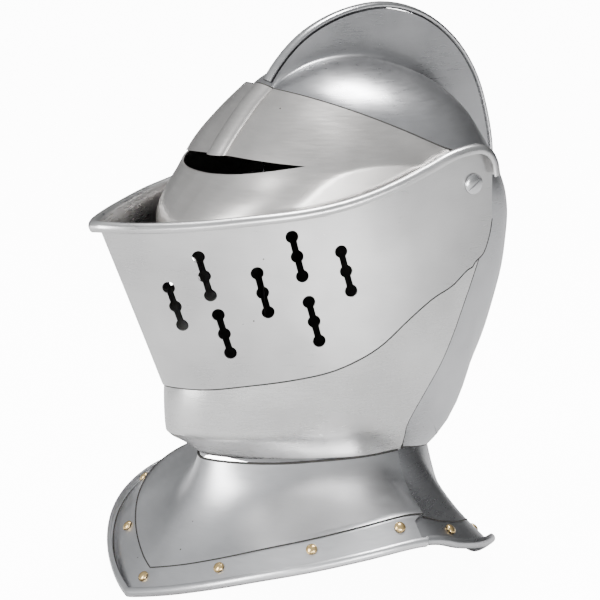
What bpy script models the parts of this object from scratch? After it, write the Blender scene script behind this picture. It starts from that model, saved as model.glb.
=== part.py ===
"""Close helmet: a steel helmet with a combed skull, a visor, a ventail, a bevor and a two-part gorget.

Metres, +Z up. The face looks along -Y and the wearer's left is +X. The helmet stands on its gorget, with
the origin on the floor under the middle of its box. The three face plates turn on one pair of pivot screws.
Side-view places are measured from the pivot axis: "out" is forward of it and "up" is above it.
"""
import math

import bmesh
import bpy
from mathutils import Matrix, Vector

# Overall sizes
PIVOT_HEIGHT = 0.28683        # pivot axis above the floor
PIVOT_BACK = 0.07852          # pivot axis behind the origin
SKULL_HALF_WIDTH = 0.095      # outside of the skull at the pivots
SKULL_DEPTH = 0.070           # pivot axis to the back of the skull
SKULL_EDGE_FRONT = 0.0595     # pivot axis to the front end of the skull's lower edge
PLATE = 0.0014                # thickness of every plate
PLATE_GAP = 0.0006            # running clearance between two plates at the pivots
SKULL_GAP = 0.0010            # further clearance between the skull and the bevor
SEAT_GAP = 0.0003             # between two pieces that touch

# Comb
COMB_HEIGHT = 0.036           # greatest height over the dome
COMB_HALF_WIDTH = 0.0034
COMB_ROOT = 0.011             # half width where the comb flares into the dome
RIM_STRIP_HALF_WIDTH = 0.0041
RIM_STRIP_THICKNESS = 0.0048

# Visor
VISOR_REACH = 0.151           # pivot axis to the face of the visor, just over the slit
RIDGE_HALF_WIDTH = 0.0095
RIDGE_HEIGHT = 0.0055
RIDGE_END = 0.58              # share of the way down the visor, where the ridge starts to fall
RIDGE_FOOT = 0.66            # and where it is flush, inside the slit
SLIT_HALF_LENGTH = 0.071      # measured across the helmet
SLIT_HEIGHT = 0.0122
SLIT_LEVEL = 0.0135           # middle of the slit above the pivot axis
SLIT_RISE = 0.0015            # rise of the slit from its middle to its ends
SLIT_TILT = 0.004             # the left end is this much higher than the middle

# Ventail
VENTAIL_REACH = 0.2398        # pivot axis to the tip of the prow
VENTAIL_DROP = 0.119          # height of the prow
VENTAIL_RAKE = 0.0515         # how far the foot of the prow falls back
VENTAIL_TIP_LEVEL = -0.020
ROLL_RADIUS = 0.0027          # outward roll of the top edge
BREATH_RADIUS = 0.0045
BREATH_PITCH = 0.0145         # between two holes of one breath
BREATH_SLOT = 0.0048

# Bevor
BEVOR_REACH = 0.1847          # pivot axis to the chin
CHIN_FLARE = 0.010            # how much fuller the chin grows just under the ventail
NECK_LEVEL = -0.192           # neck line at the front and the sides
NECK_BACK = 0.027             # back of the neck behind the pivot axis
NECK_SAG = 0.011              # the neck line is this much lower at the back
NECK_DIP = 0.003              # and this much lower at the front

# Gorget
GORGET_CENTRE = 0.064         # middle of the gorget, in front of the pivot axis
GORGET_HALF_WIDTH = 0.145
GORGET_FRONT = 0.153          # middle of the gorget to its front point
GORGET_BACK = 0.117           # middle of the gorget to its back
GORGET_ARCH = 0.0485          # height of the side edges above the floor
BAND_RUN = 0.016              # flat border outside the raised part, across
BAND_FALL = 0.017             # and down
GORGET_ROLL = 0.0022
GORGET_BOW = 0.62             # hollow of the flare in front, as a share
NAPE_BOW = 0.12               # and behind, where it runs down almost straight
FLOOR_ROLL = 0.00173           # the rolled rim reaches this far under its own line
NECK_SEAT = 0.0008             # the collar plates sit this far under the neck line
REAR_INSET = 0.0024           # the rear plate lies this far inside the front plate

# Fasteners
RIVET_RADIUS = 0.0040
RIVET_DOME = 0.0024
RIVET_SHANK = 0.0014
RIVET_HOLE = 0.0018
RIVET_TAIL = 0.0024
RIVET_SEAT = 0.0006           # clearance under the head and the tail, which sit on a curved plate
SCREW_RADIUS = 0.0073
SCREW_DOME = 0.0026
SCREW_SHANK = 0.0025
SCREW_HOLE = 0.0030
SLOT_WIDTH = 0.0014
SLOT_DEPTH = 0.0011
NUT_RADIUS = 0.0062
NUT_THICKNESS = 0.0035
NUT_SEAT = 0.0014              # the inside of the skull is curved, so the nut sits clear of it

ROLL_TURNS = [70, 140, 210]  # degrees of the outward roll of an edge
STACK_STEP = PLATE + PLATE_GAP
EAR_RADIUS = 0.0165           # how far each face plate runs behind the pivot
BEVOR_HALF_WIDTH = SKULL_HALF_WIDTH + STACK_STEP + SKULL_GAP
VISOR_HALF_WIDTH = BEVOR_HALF_WIDTH + STACK_STEP
VENTAIL_HALF_WIDTH = VISOR_HALF_WIDTH + STACK_STEP

# Outline of the skull in side view. Angle in degrees, from straight ahead up and over to the nape;
# radius and comb as shares of SKULL_DEPTH and COMB_HEIGHT; bevor is the radius of the form that the sides
# of the bevor follow, as a share of SKULL_DEPTH too
SKULL_OUTLINE = [
    dict(angle=20, radius=1.660, bevor=3.00, comb=0.15),
    dict(angle=31, radius=1.690, bevor=3.00, comb=0.20),
    dict(angle=42, radius=1.564, bevor=3.00, comb=0.44),
    dict(angle=52, radius=1.424, bevor=3.00, comb=0.68),
    dict(angle=63, radius=1.279, bevor=3.00, comb=0.89),
    dict(angle=75, radius=1.150, bevor=3.00, comb=1.06),
    dict(angle=88, radius=1.036, bevor=3.00, comb=1.20),
    dict(angle=103, radius=0.956, bevor=3.00, comb=1.21),
    dict(angle=120, radius=0.880, bevor=3.00, comb=1.16),
    dict(angle=140, radius=0.814, bevor=3.00, comb=1.07),
    dict(angle=160, radius=0.830, bevor=3.00, comb=0.88),
    dict(angle=180, radius=0.930, bevor=3.00, comb=0.68),
    dict(angle=195, radius=1.075, bevor=3.00, comb=0.48),
    dict(angle=206, radius=1.200, bevor=3.00, comb=0.43),
    dict(angle=222, radius=1.420, bevor=3.00, comb=0.38),
    dict(angle=235, radius=1.700, bevor=3.00, comb=0.30),
    dict(angle=243, radius=1.920, bevor=3.00, comb=0.23),
    dict(angle=251, radius=2.220, bevor=3.00, comb=0.13),
    dict(angle=257, radius=2.490, bevor=3.00, comb=0.04),
    dict(angle=263.3, radius=2.925, bevor=3.00, comb=0.00),
    dict(angle=270, radius=3.150, bevor=3.20, comb=0.00),
    dict(angle=280, radius=3.450, bevor=3.60, comb=0.00),
    dict(angle=289, radius=3.300, bevor=3.90, comb=0.00),
    dict(angle=300, radius=3.200, bevor=3.88, comb=0.00),
    dict(angle=330, radius=3.000, bevor=3.70, comb=0.00),
    dict(angle=345, radius=2.700, bevor=3.00, comb=0.00),
    dict(angle=355, radius=2.250, bevor=3.00, comb=0.00),
    dict(angle=365, radius=1.900, bevor=3.00, comb=0.00),
    dict(angle=372, radius=1.740, bevor=3.00, comb=0.00),
    dict(angle=380, radius=1.660, bevor=3.00, comb=0.00),
]
HEAD_ROUNDNESS = 2.1

CROWN_ANGLES = [24, 33, 39, 46, 54, 64, 76, 89, 104, 121, 139, 157, 174, 189, 202, 214, 226, 237, 246, 254,
                263.3]

# Edge of the face opening in the skull, brow to neck, as shares of SKULL_DEPTH
FACE_EDGE = [
    dict(along=0.00, out=1.300, up=0.580),
    dict(along=0.12, out=1.220, up=0.545),
    dict(along=0.25, out=1.060, up=0.450),
    dict(along=0.38, out=0.860, up=0.220),
    dict(along=0.50, out=0.700, up=-0.200),
    dict(along=0.62, out=0.700, up=-0.800),
    dict(along=0.75, out=0.780, up=-1.450),
    dict(along=0.88, out=0.830, up=-2.150),
    dict(along=1.00, out=0.850, up=-2.743),
]

# Middle line of the visor from the pivot: degrees, share of VISOR_REACH, and how square its front is
VISOR_OUTLINE = [
    dict(angle=-24, radius=1.270, roundness=2.10),
    dict(angle=-12, radius=1.235, roundness=2.15),
    dict(angle=-7.7, radius=1.205, roundness=2.25),
    dict(angle=-3.3, radius=1.130, roundness=2.40),
    dict(angle=1, radius=1.045, roundness=2.60),
    dict(angle=5.6, radius=0.988, roundness=2.70),
    dict(angle=9, radius=0.955, roundness=2.70),
    dict(angle=18, radius=0.888, roundness=2.45),
    dict(angle=25, radius=0.848, roundness=2.25),
    dict(angle=31, radius=0.816, roundness=2.15),
    dict(angle=42, radius=0.759, roundness=2.10),
    dict(angle=52, radius=0.699, roundness=2.10),
    dict(angle=63, radius=0.800, roundness=2.10),
    dict(angle=75, radius=0.950, roundness=2.10),
    dict(angle=90, radius=1.100, roundness=2.10),
    dict(angle=180, radius=1.400, roundness=2.10),
    dict(angle=300, radius=1.400, roundness=2.10),
]
# Upper and lower edges of the visor: share of the way out to its middle line, levels as shares of VISOR_REACH
VISOR_EDGES = [
    dict(along=1.00, top=0.420, low=-0.225),
    dict(along=0.93, top=0.405, low=-0.216),
    dict(along=0.80, top=0.370, low=-0.172),
    dict(along=0.62, top=0.315, low=-0.127),
    dict(along=0.44, top=0.255, low=-0.108),
    dict(along=0.28, top=0.200, low=-0.100),
    dict(along=0.14, top=0.155, low=-0.096),
    dict(along=0.00, top=0.125, low=-0.095),
    dict(along=-0.60, top=0.098, low=-0.083),
    dict(along=-1.00, top=0.035, low=-0.035),
]

# Upper and lower edges of the ventail: share of the way out to the prow, levels as shares of VENTAIL_DROP
VENTAIL_EDGES = [
    dict(along=1.000, top_up=-0.168, low_up=-1.168),
    dict(along=0.920, top_up=-0.168, low_up=-1.162),
    dict(along=0.800, top_up=-0.155, low_up=-1.126),
    dict(along=0.665, top_up=-0.128, low_up=-1.089),
    dict(along=0.540, top_up=-0.105, low_up=-1.046),
    dict(along=0.440, top_up=-0.075, low_up=-0.985),
    dict(along=0.345, top_up=-0.030, low_up=-0.900),
    dict(along=0.240, top_up=0.040, low_up=-0.760),
    dict(along=0.150, top_up=0.115, low_up=-0.650),
    dict(along=0.075, top_up=0.180, low_up=-0.585),
    dict(along=0.000, top_up=0.205, low_up=-0.490),
    dict(along=-0.600, top_up=0.175, low_up=-0.410),
    dict(along=-0.900, top_up=0.110, low_up=-0.300),
    dict(along=-1.000, top_up=0.040, low_up=-0.220),
]
VENTAIL_ROUNDNESS = dict(top=0.80, foot=0.70)

# Breaths of one side: share of the way out to the prow and level of the middle hole, as a share of the drop
BREATHS = [
    dict(out=0.909, up=-0.48),
    dict(out=0.812, up=-0.29),
    dict(out=0.812, up=-0.64),
    dict(out=0.675, up=-0.39),
    dict(out=0.556, up=-0.18),
    dict(out=0.549, up=-0.57),
    dict(out=0.424, up=-0.28),
]
BREATH_LEAN = 0.27            # a breath leans back this much for each unit of fall

# Bevor: levels as shares of the neck level, half widths as shares of BEVOR_HALF_WIDTH
BEVOR_SECTIONS = [
    dict(level=-0.30, reach=0.985, width=1.000),
    dict(level=0.30, reach=0.985, width=0.990),
    dict(level=0.55, reach=0.985, width=0.955),
    dict(level=0.67, reach=0.988, width=0.915),
    dict(level=0.735, reach=0.998, width=0.885),
    dict(level=0.79, reach=1.002, width=0.865),
    dict(level=0.885, reach=1.000, width=0.815),
    dict(level=0.912, reach=0.992, width=0.800),
    dict(level=0.945, reach=0.935, width=0.765),
    dict(level=1.000, reach=0.8556, width=0.722),
]
BEVOR_EDGES = [
    dict(along=1.000, top=0.640, low=1.000),
    dict(along=0.800, top=0.630, low=1.000),
    dict(along=0.600, top=0.588, low=1.000),
    dict(along=0.450, top=0.480, low=1.000),
    dict(along=0.330, top=0.400, low=1.000),
    dict(along=0.240, top=0.320, low=1.000),
    dict(along=0.212, top=0.270, low=1.000),
    dict(along=0.180, top=0.190, low=0.885),
    dict(along=0.130, top=0.090, low=0.780),
    dict(along=0.068, top=-0.030, low=0.660),
    dict(along=0.024, top=-0.080, low=0.540),
    dict(along=0.000, top=-0.092, low=0.470),
    dict(along=-0.250, top=-0.088, low=0.395),
    dict(along=-0.780, top=-0.055, low=0.235),
    dict(along=-1.000, top=0.000, low=0.110),
]

# Rim of the gorget: degrees round from the front; radius as a share of the ellipse of the gorget's own
# sizes; height above the floor as a share of GORGET_ARCH
GORGET_RIM = [
    dict(angle=0, radius=1.000, height=0.00),
    dict(angle=14, radius=0.965, height=0.18),
    dict(angle=28, radius=0.955, height=0.38),
    dict(angle=42, radius=0.965, height=0.58),
    dict(angle=56, radius=0.985, height=0.75),
    dict(angle=70, radius=1.000, height=0.90),
    dict(angle=84, radius=1.000, height=1.00),
    dict(angle=92, radius=1.000, height=0.98),
    dict(angle=100, radius=1.000, height=0.85),
    dict(angle=108, radius=1.000, height=0.75),
    dict(angle=116, radius=1.000, height=0.67),
    dict(angle=125, radius=1.000, height=0.59),
    dict(angle=134, radius=1.000, height=0.47),
    dict(angle=142, radius=1.000, height=0.33),
    dict(angle=150, radius=1.000, height=0.17),
    dict(angle=158, radius=1.000, height=0.03),
    dict(angle=164, radius=1.000, height=0.00),
    dict(angle=180, radius=1.000, height=0.00),
]
FRONT_RIVETS = [0, 27.5, 56, 82.5]        # degrees round from the front, mirrored
REAR_RIVETS = [103, 138, 180]
RIVET_LEVEL = 1.36            # share of the way across the border, past 1
# Where the two collar plates meet, degrees round from the front
SEAM_AT_NECK = 113
SEAM_AT_RIM = 88
SEAM_GAP = 0.7
SEAM_LAP = 8.0                # the rear plate runs this far under the front plate, above its border

STEEL = dict(color=(0.56, 0.56, 0.57, 1.0), roughness=0.34, metallic=1.0)
WARM_STEEL = dict(color=(0.58, 0.57, 0.56, 1.0), roughness=0.32, metallic=1.0)
BRASS = dict(color=(0.80, 0.56, 0.24, 1.0), roughness=0.28, metallic=1.0)


def clear_scene():
    for old in list(bpy.data.objects):
        bpy.data.objects.remove(old, do_unlink=True)


def make_material(name, values):
    material = bpy.data.materials.new(name)
    material.use_nodes = True
    shader = material.node_tree.nodes["Principled BSDF"]
    shader.inputs["Base Color"].default_value = values["color"]
    shader.inputs["Roughness"].default_value = values["roughness"]
    shader.inputs["Metallic"].default_value = values["metallic"]
    return material


def mix(a, b, share):
    return a + (b - a) * share


def ease(low, high, at):
    """Goes smoothly from 0 at low to 1 at high."""
    share = min(1.0, max(0.0, (at - low) / (high - low)))
    return share * share * (3.0 - 2.0 * share)


def read_table(table, key, column, at):
    """A smooth curve through the rows of a table, read at one value of its key column."""
    rows = table if table[0][key] < table[-1][key] else table[::-1]
    at = min(rows[-1][key], max(rows[0][key], at))
    last = len(rows) - 2
    i = next((k for k in range(last + 1) if at <= rows[k + 1][key]), last)

    def slope(k):
        before = rows[max(0, k - 1)]
        after = rows[min(len(rows) - 1, k + 1)]
        return (after[column] - before[column]) / (after[key] - before[key])

    span = rows[i + 1][key] - rows[i][key]
    t = (at - rows[i][key]) / span
    here, there = rows[i][column], rows[i + 1][column]
    return ((2 * t**3 - 3 * t**2 + 1) * here + (t**3 - 2 * t**2 + t) * span * slope(i)
            + (3 * t**2 - 2 * t**3) * there + (t**3 - t**2) * span * slope(i + 1))


def bulge(share, roundness, power=None):
    """Half width of a section, as a share: 1 at the pivot and 0 on the middle line."""
    inside = max(0.0, 1.0 - abs(share) ** roundness)
    return inside ** (1.0 / roundness if power is None else power)


def side_angle(out, up):
    """Degrees round from straight ahead, up and over; the front below the pivot is negative."""
    angle = math.degrees(math.atan2(up, out))
    return angle + 360.0 if angle < -100.0 else angle


def head_radius(angle, column="radius"):
    around = angle + 360.0 if angle < 20.0 else angle
    return SKULL_DEPTH * read_table(SKULL_OUTLINE, "angle", column, around)


def head_width(out, up, half_width, column="radius"):
    """Half width of the head form, which is round about the pivot axis so that plates can turn over it."""
    share = math.hypot(out, up) / head_radius(side_angle(out, up), column)
    return half_width * bulge(share, HEAD_ROUNDNESS)


def world(x, out, up):
    return Vector((x, PIVOT_BACK - out, PIVOT_HEIGHT + up))


def neck_level(out):
    return NECK_LEVEL - NECK_SAG * ease(0.040, -NECK_BACK, out) - NECK_DIP * ease(0.050, 0.130, out)


def link(obj, collection, material):
    collection.objects.link(obj)
    if material:
        obj.data.materials.append(material)
    return obj


def grid_object(name, rows, collection, material, smooth_angle=40.0):
    """An open sheet through a grid of points, made whole across the middle plane and thickened inwards."""
    bm = bmesh.new()
    lattice = [[bm.verts.new(point) for point in row] for row in rows]
    for upper, lower in zip(lattice, lattice[1:]):
        for a, b, c, d in zip(upper, upper[1:], lower[1:], lower):
            bm.faces.new((a, b, c, d))
    mesh = bpy.data.meshes.new(name)
    bm.to_mesh(mesh)
    bm.free()
    obj = link(bpy.data.objects.new(name, mesh), collection, material)
    mirror = obj.modifiers.new("Mirror", "MIRROR")
    mirror.merge_threshold = 0.00005
    solid = obj.modifiers.new("Plate", "SOLIDIFY")
    solid.thickness = PLATE
    solid.offset = -1.0
    mesh.shade_smooth()
    mesh.set_sharp_from_angle(angle=math.radians(smooth_angle))
    return obj


def cutter_object(name, bm, collection):
    mesh = bpy.data.meshes.new(name)
    bm.to_mesh(mesh)
    bm.free()
    obj = link(bpy.data.objects.new(name, mesh), collection, None)
    obj.hide_render = True
    obj.display_type = "WIRE"
    return obj


def cut(obj, cutter):
    boolean = obj.modifiers.new("Cut " + cutter.name, "BOOLEAN")
    boolean.operation = "DIFFERENCE"
    boolean.solver = "EXACT"
    boolean.object = cutter


def add_cylinder(bm, radius, start, end, sides):
    """A closed cylinder between two points."""
    axis = end - start
    turn = axis.to_track_quat("Z", "X").to_matrix().to_4x4()
    place = Matrix.Translation((start + end) / 2) @ turn
    bmesh.ops.create_cone(bm, cap_ends=True, segments=sides, radius1=radius, radius2=radius,
                          depth=axis.length, matrix=place)


def pivot_hole_cutter(cutters):
    bm = bmesh.new()
    reach = VENTAIL_HALF_WIDTH + 0.010
    add_cylinder(bm, SCREW_HOLE, world(-reach, 0, 0), world(reach, 0, 0), 12)
    return cutter_object("pivot_hole_cutter", bm, cutters)


def curl(points, outward, upward, radius, turns):
    """Extra rows that roll a sheet's edge outwards; the first is nearest to the edge."""
    rows = []
    for degrees in turns:
        a = math.radians(degrees)
        rows.append([p + o * radius * (1.0 - math.cos(a)) + u * radius * math.sin(a)
                     for p, o, u in zip(points, outward, upward)])
    return rows


def edge_frames(edge, inner):
    """Outward and edgeward directions along an edge; the row next to it shows which way the sheet runs."""
    outward, upward = [], []
    for i, point in enumerate(edge):
        before = edge[max(0, i - 1)]
        after = edge[min(len(edge) - 1, i + 1)]
        along = (after - before).normalized()
        if i == 0:
            along = Vector((1.0, 0.0, 0.0))
        up = (point - inner[i])
        up = (up - along * up.dot(along)).normalized()
        out = along.cross(up).normalized()
        if i == 0:
            side = (edge[1] - edge[0]).normalized()
            stretch = 1.0 / max(0.55, abs(side.x))
            out = Vector((0.0, out.y, out.z)) * stretch
            up = Vector((0.0, up.y, up.z)).normalized()
        outward.append(out)
        upward.append(up)
    return outward, upward


def shares(first, last, count):
    return [mix(first, last, i / (count - 1)) for i in range(count)]


def build_skull(parts, cutters, material):
    """The dome, its hollow comb, the cheeks and the back of the neck."""
    neck_outs = [-0.0215, -0.0125, 0.004, 0.022, 0.040, SKULL_EDGE_FRONT]
    ends = [("crown", angle) for angle in CROWN_ANGLES] + [("neck", out) for out in neck_outs]
    count = len(ends)
    comb_rows = [
        dict(x=1.00, rise=0.00),
        dict(x=0.45, rise=0.035),
        dict(x=0.12, rise=0.16),
        dict(x=0.00, rise=1.00),
    ]
    columns = []
    for i, (kind, value) in enumerate(ends):
        along = i / (count - 1)
        edge_out = SKULL_DEPTH * read_table(FACE_EDGE, "along", "out", along)
        edge_up = SKULL_DEPTH * read_table(FACE_EDGE, "along", "up", along)
        points = []
        if kind == "crown":
            radius = head_radius(value)
            turn = math.radians(value)
            comb = COMB_HEIGHT * max(0.0, read_table(SKULL_OUTLINE, "angle", "comb", value))
            comb = max(0.0, comb - RIM_STRIP_THICKNESS * ease(0.0, 0.006, comb))
            narrow = 1 - 0.9 * ease(250.0, 263.3, value)
            top = radius * bulge(narrow * COMB_ROOT / SKULL_HALF_WIDTH, HEAD_ROUNDNESS)
            for v in [0, 0.26, 0.50, 0.70, 0.85, 0.95]:
                out = mix(edge_out, top * math.cos(turn), v)
                up = mix(edge_up, top * math.sin(turn), v)
                x = head_width(out, up, SKULL_HALF_WIDTH)
                points.append(world(x, out, max(up, neck_level(out))))
            for row in comb_rows:
                x = narrow * mix(COMB_HALF_WIDTH, COMB_ROOT, row["x"])
                lift = radius * bulge(x / SKULL_HALF_WIDTH, HEAD_ROUNDNESS) + comb * row["rise"]
                out = lift * math.cos(turn)
                points.append(world(x, out, max(lift * math.sin(turn), neck_level(out))))
            out = (radius + comb) * math.cos(turn)
            points.append(world(0.0, out, max((radius + comb) * math.sin(turn), neck_level(out))))
        else:
            level = neck_level(value)
            for v in [0, 0.18, 0.36, 0.52, 0.65, 0.76, 0.85, 0.91, 0.96, 0.98, 1.0]:
                out = mix(edge_out, value, v)
                up = mix(edge_up, level, v)
                points.append(world(head_width(out, up, SKULL_HALF_WIDTH), out, up))
        columns.append(points)
    rows = [list(row) for row in zip(*columns)]
    obj = grid_object("skull", rows, parts, material)
    cut(obj, cutters["pivot"])
    return obj


def build_comb_rim(parts, material):
    """A rounded strip along the top of the comb."""
    angles = CROWN_ANGLES[1:-1]
    sides = 6
    bm = bmesh.new()
    rings = []
    for angle in angles:
        turn = math.radians(angle)
        comb = COMB_HEIGHT * read_table(SKULL_OUTLINE, "angle", "comb", angle)
        comb = max(0.0, comb - RIM_STRIP_THICKNESS * ease(0.0, 0.006, comb))
        middle = head_radius(angle) + comb + SEAT_GAP + RIM_STRIP_THICKNESS / 2
        ring = []
        for i in range(sides):
            around = 2 * math.pi * i / sides
            radius = middle + RIM_STRIP_THICKNESS / 2 * math.sin(around) / math.cos(math.pi / sides)
            x = RIM_STRIP_HALF_WIDTH * math.cos(around)
            ring.append(bm.verts.new(world(x, radius * math.cos(turn), radius * math.sin(turn))))
        rings.append(ring)
    for ring, following in zip(rings, rings[1:]):
        for i in range(sides):
            k = (i + 1) % sides
            bm.faces.new((ring[i], ring[k], following[k], following[i]))
    bm.faces.new(rings[0][::-1])
    bm.faces.new(rings[-1])
    bmesh.ops.recalc_face_normals(bm, faces=bm.faces)
    return mesh_object("comb_rim", bm, parts, material)


def visor_radius(angle):
    return VISOR_REACH * read_table(VISOR_OUTLINE, "angle", "radius", angle)


def visor_roundness(angle):
    return read_table(VISOR_OUTLINE, "angle", "roundness", angle)


def visor_width(out, up):
    """Half width of the visor, which nests inside the ventail."""
    angle = side_angle(out, up)
    width = VISOR_HALF_WIDTH * bulge(math.hypot(out, up) / visor_radius(angle), visor_roundness(angle))
    steps = 1 + 0.4 * ease(0.010, 0.030, out)
    return min(width, ventail_width(out, min(up, VENTAIL_TIP_LEVEL)) - steps * STACK_STEP)


def build_visor(parts, cutters, material):
    """The upper face plate, with a ridge from its top edge down to the slit."""
    ridge = [0.0, 0.40, 0.78, 1.0]
    sides = [0.985, 0.95, 0.895, 0.81, 0.71, 0.60, 0.48, 0.36, 0.24, 0.12, 0.0, -0.6, -1.0]
    downs = [0.0, 0.20, 0.40, RIDGE_END, RIDGE_FOOT, 0.78, 0.89, 1.0]

    def edge_point(along, column):
        first = VISOR_EDGES[0]
        up = VISOR_REACH * read_table(VISOR_EDGES, "along", column, along)
        near = 31 if column == "top" else -11
        angle = math.degrees(math.asin(VISOR_REACH * first[column] / visor_radius(near)))
        out = visor_radius(angle) * math.cos(math.radians(angle))
        return (along * out if along > 0 else along * EAR_RADIUS), up

    columns = []
    for share in ridge:
        x = share * RIDGE_HALF_WIDTH
        tops = side_angle(*edge_point(1.0, "top"))
        lows = side_angle(*edge_point(1.0, "low"))
        points = []
        for v in downs:
            angle = mix(tops, lows, v)
            near = visor_roundness(angle)
            radius = visor_radius(angle) * (1 - (x / VISOR_HALF_WIDTH) ** near) ** (1 / near)
            lift = RIDGE_HEIGHT * math.sqrt(max(0.0, 1 - share**2)) * (1 - ease(RIDGE_END, RIDGE_FOOT, v))
            turn = math.radians(angle)
            points.append(world(x, (radius + lift) * math.cos(turn), (radius + lift) * math.sin(turn)))
        columns.append(points)
    for along in sides:
        top_out, top_up = edge_point(along, "top")
        low_out, low_up = edge_point(along, "low")
        top_angle, low_angle = side_angle(top_out, top_up), side_angle(low_out, low_up)
        top_share = math.hypot(top_out, top_up) / visor_radius(top_angle)
        low_share = math.hypot(low_out, low_up) / visor_radius(low_angle)
        straight = 1 - ease(0.10, 0.35, along)
        points = []
        for v in downs:
            angle = mix(top_angle, low_angle, v)
            radius = mix(top_share, low_share, v) * visor_radius(angle)
            turn = math.radians(angle)
            out = mix(radius * math.cos(turn), mix(top_out, low_out, v), straight)
            up = mix(radius * math.sin(turn), mix(top_up, low_up, v), straight)
            points.append(world(visor_width(out, up), out, up))
        columns.append(points)
    rows = [list(row) for row in zip(*columns)]
    obj = grid_object("visor", rows[::-1], parts, material)
    cut(obj, cutters["slit"])
    cut(obj, cutters["pivot"])
    return obj


def slit_cutter(cutters):
    """A long lens, deep enough to pass through the front of the visor."""
    bm = bmesh.new()
    steps = 9
    upper = []
    for i in range(2 * steps + 1):
        across = i / steps - 1
        middle = SLIT_LEVEL + SLIT_RISE * across**2 + SLIT_TILT * across
        half = SLIT_HEIGHT / 2 * (1 - abs(across) ** 2.2)
        upper.append((across * SLIT_HALF_LENGTH, middle, half))
    outline = [(x, m + h) for x, m, h in upper] + [(x, m - h) for x, m, h in upper[-2:0:-1]]
    near = [bm.verts.new(world(x, VISOR_REACH * 0.45, up)) for x, up in outline]
    far = [bm.verts.new(world(x, VISOR_REACH * 1.20, up)) for x, up in outline]
    for i in range(len(outline)):
        k = (i + 1) % len(outline)
        bm.faces.new((near[i], near[k], far[k], far[i]))
    bm.faces.new(near)
    bm.faces.new(far[::-1])
    bmesh.ops.recalc_face_normals(bm, faces=bm.faces)
    return cutter_object("slit_cutter", bm, cutters)


def prow_reach(up):
    return VENTAIL_REACH - VENTAIL_RAKE * (VENTAIL_TIP_LEVEL - up) / VENTAIL_DROP


def ventail_width(out, up):
    fall = min(1.0, max(0.0, (VENTAIL_TIP_LEVEL - up) / VENTAIL_DROP))
    power = mix(VENTAIL_ROUNDNESS["top"], VENTAIL_ROUNDNESS["foot"], fall)
    return VENTAIL_HALF_WIDTH * bulge(out / prow_reach(up), 2.0, power)


def build_ventail(parts, cutters, material):
    """The prow-shaped lower face plate, with a rolled top edge."""
    alongs = [1.0, 0.98, 0.94, 0.88, 0.80, 0.71, 0.61, 0.51, 0.41, 0.31, 0.22, 0.14, 0.07, 0.0,
              -0.5, -0.85, -1.0]
    downs = [0.0, 0.18, 0.42, 0.66, 0.86, 1.0]
    rows = []
    for v in downs:
        row = []
        for along in alongs:
            top = VENTAIL_DROP * read_table(VENTAIL_EDGES, "along", "top_up", along)
            low = VENTAIL_DROP * read_table(VENTAIL_EDGES, "along", "low_up", along)
            up = mix(top, low, v)
            out = along * prow_reach(up) if along > 0 else along * EAR_RADIUS
            row.append(world(0.0 if along == 1.0 else ventail_width(out, up), out, up))
        rows.append(row)
    outward, upward = edge_frames(rows[0], rows[1])
    rolled = curl(rows[0], outward, upward, ROLL_RADIUS, ROLL_TURNS)
    obj = grid_object("ventail", rows[::-1] + rolled, parts, material)
    cut(obj, cutters["breaths"])
    cut(obj, cutters["pivot"])
    return obj


def breath_outline():
    """Three round holes in a row, joined by a slot, as one outline."""
    join = math.asin(BREATH_SLOT / 2 / BREATH_RADIUS)
    steps = 3
    right = []
    for number, middle in enumerate([-BREATH_PITCH, 0.0, BREATH_PITCH]):
        start = math.pi if number == 0 else math.pi - join
        end = 0.0 if number == 2 else join
        for i in range(steps + 1):
            a = mix(start, end, i / steps)
            right.append((BREATH_RADIUS * math.sin(a), middle + BREATH_RADIUS * math.cos(a)))
    left = [(-x, y) for x, y in right[-2:0:-1]]
    return right + left


def breath_cutter(cutters):
    bm = bmesh.new()
    depth = 0.012
    for breath in BREATHS:
        up = VENTAIL_TIP_LEVEL + VENTAIL_DROP * breath["up"]
        out = breath["out"] * prow_reach(up)
        step = 0.002
        middle = world(ventail_width(out, up), out, up)
        ahead = world(ventail_width(out + step, up), out + step, up)
        behind = world(ventail_width(out - step, up), out - step, up)
        above = world(ventail_width(out, up + step), out, up + step)
        back = (behind - ahead).normalized()
        face = back.cross(above - middle).normalized()
        face = face if face.x > 0 else -face
        rise = (Vector((0, 0, 1)) - back * BREATH_LEAN).normalized()
        rise = (rise - face * rise.dot(face)).normalized()
        across = rise.cross(face)
        for side in (1, -1):
            loops = []
            for reach in (-depth, depth):
                loop = []
                for a, b in breath_outline():
                    point = middle + across * a + rise * b + face * reach
                    loop.append(bm.verts.new((side * point.x, point.y, point.z)))
                loops.append(loop)
            count = len(loops[0])
            for i in range(count):
                k = (i + 1) % count
                bm.faces.new((loops[0][i], loops[0][k], loops[1][k], loops[1][i]))
            bm.faces.new(loops[0][::-1])
            bm.faces.new(loops[1])
    bmesh.ops.recalc_face_normals(bm, faces=bm.faces)
    return cutter_object("breath_cutter", bm, cutters)


def bevor_reach(up):
    return BEVOR_REACH * read_table(BEVOR_SECTIONS, "level", "reach", up / NECK_LEVEL)


def bevor_width(out, up):
    """The sides follow the head form, and the front runs out to a blunt chin."""
    side = head_width(out, up, BEVOR_HALF_WIDTH, "bevor")
    full = BEVOR_HALF_WIDTH * read_table(BEVOR_SECTIONS, "level", "width", up / NECK_LEVEL)
    chin = full * bulge(out / bevor_reach(up), 2.2, 0.60)
    foot = VENTAIL_TIP_LEVEL - VENTAIL_DROP
    steps = 1.3 + ease(-0.090, -0.060, up)
    room = ventail_width(out, max(up, foot)) - steps * STACK_STEP + CHIN_FLARE * ease(0.0, 0.012, foot - up)
    return max(0.0, min(mix(side, min(side, chin), ease(0.050, 0.105, out)), room))


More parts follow.
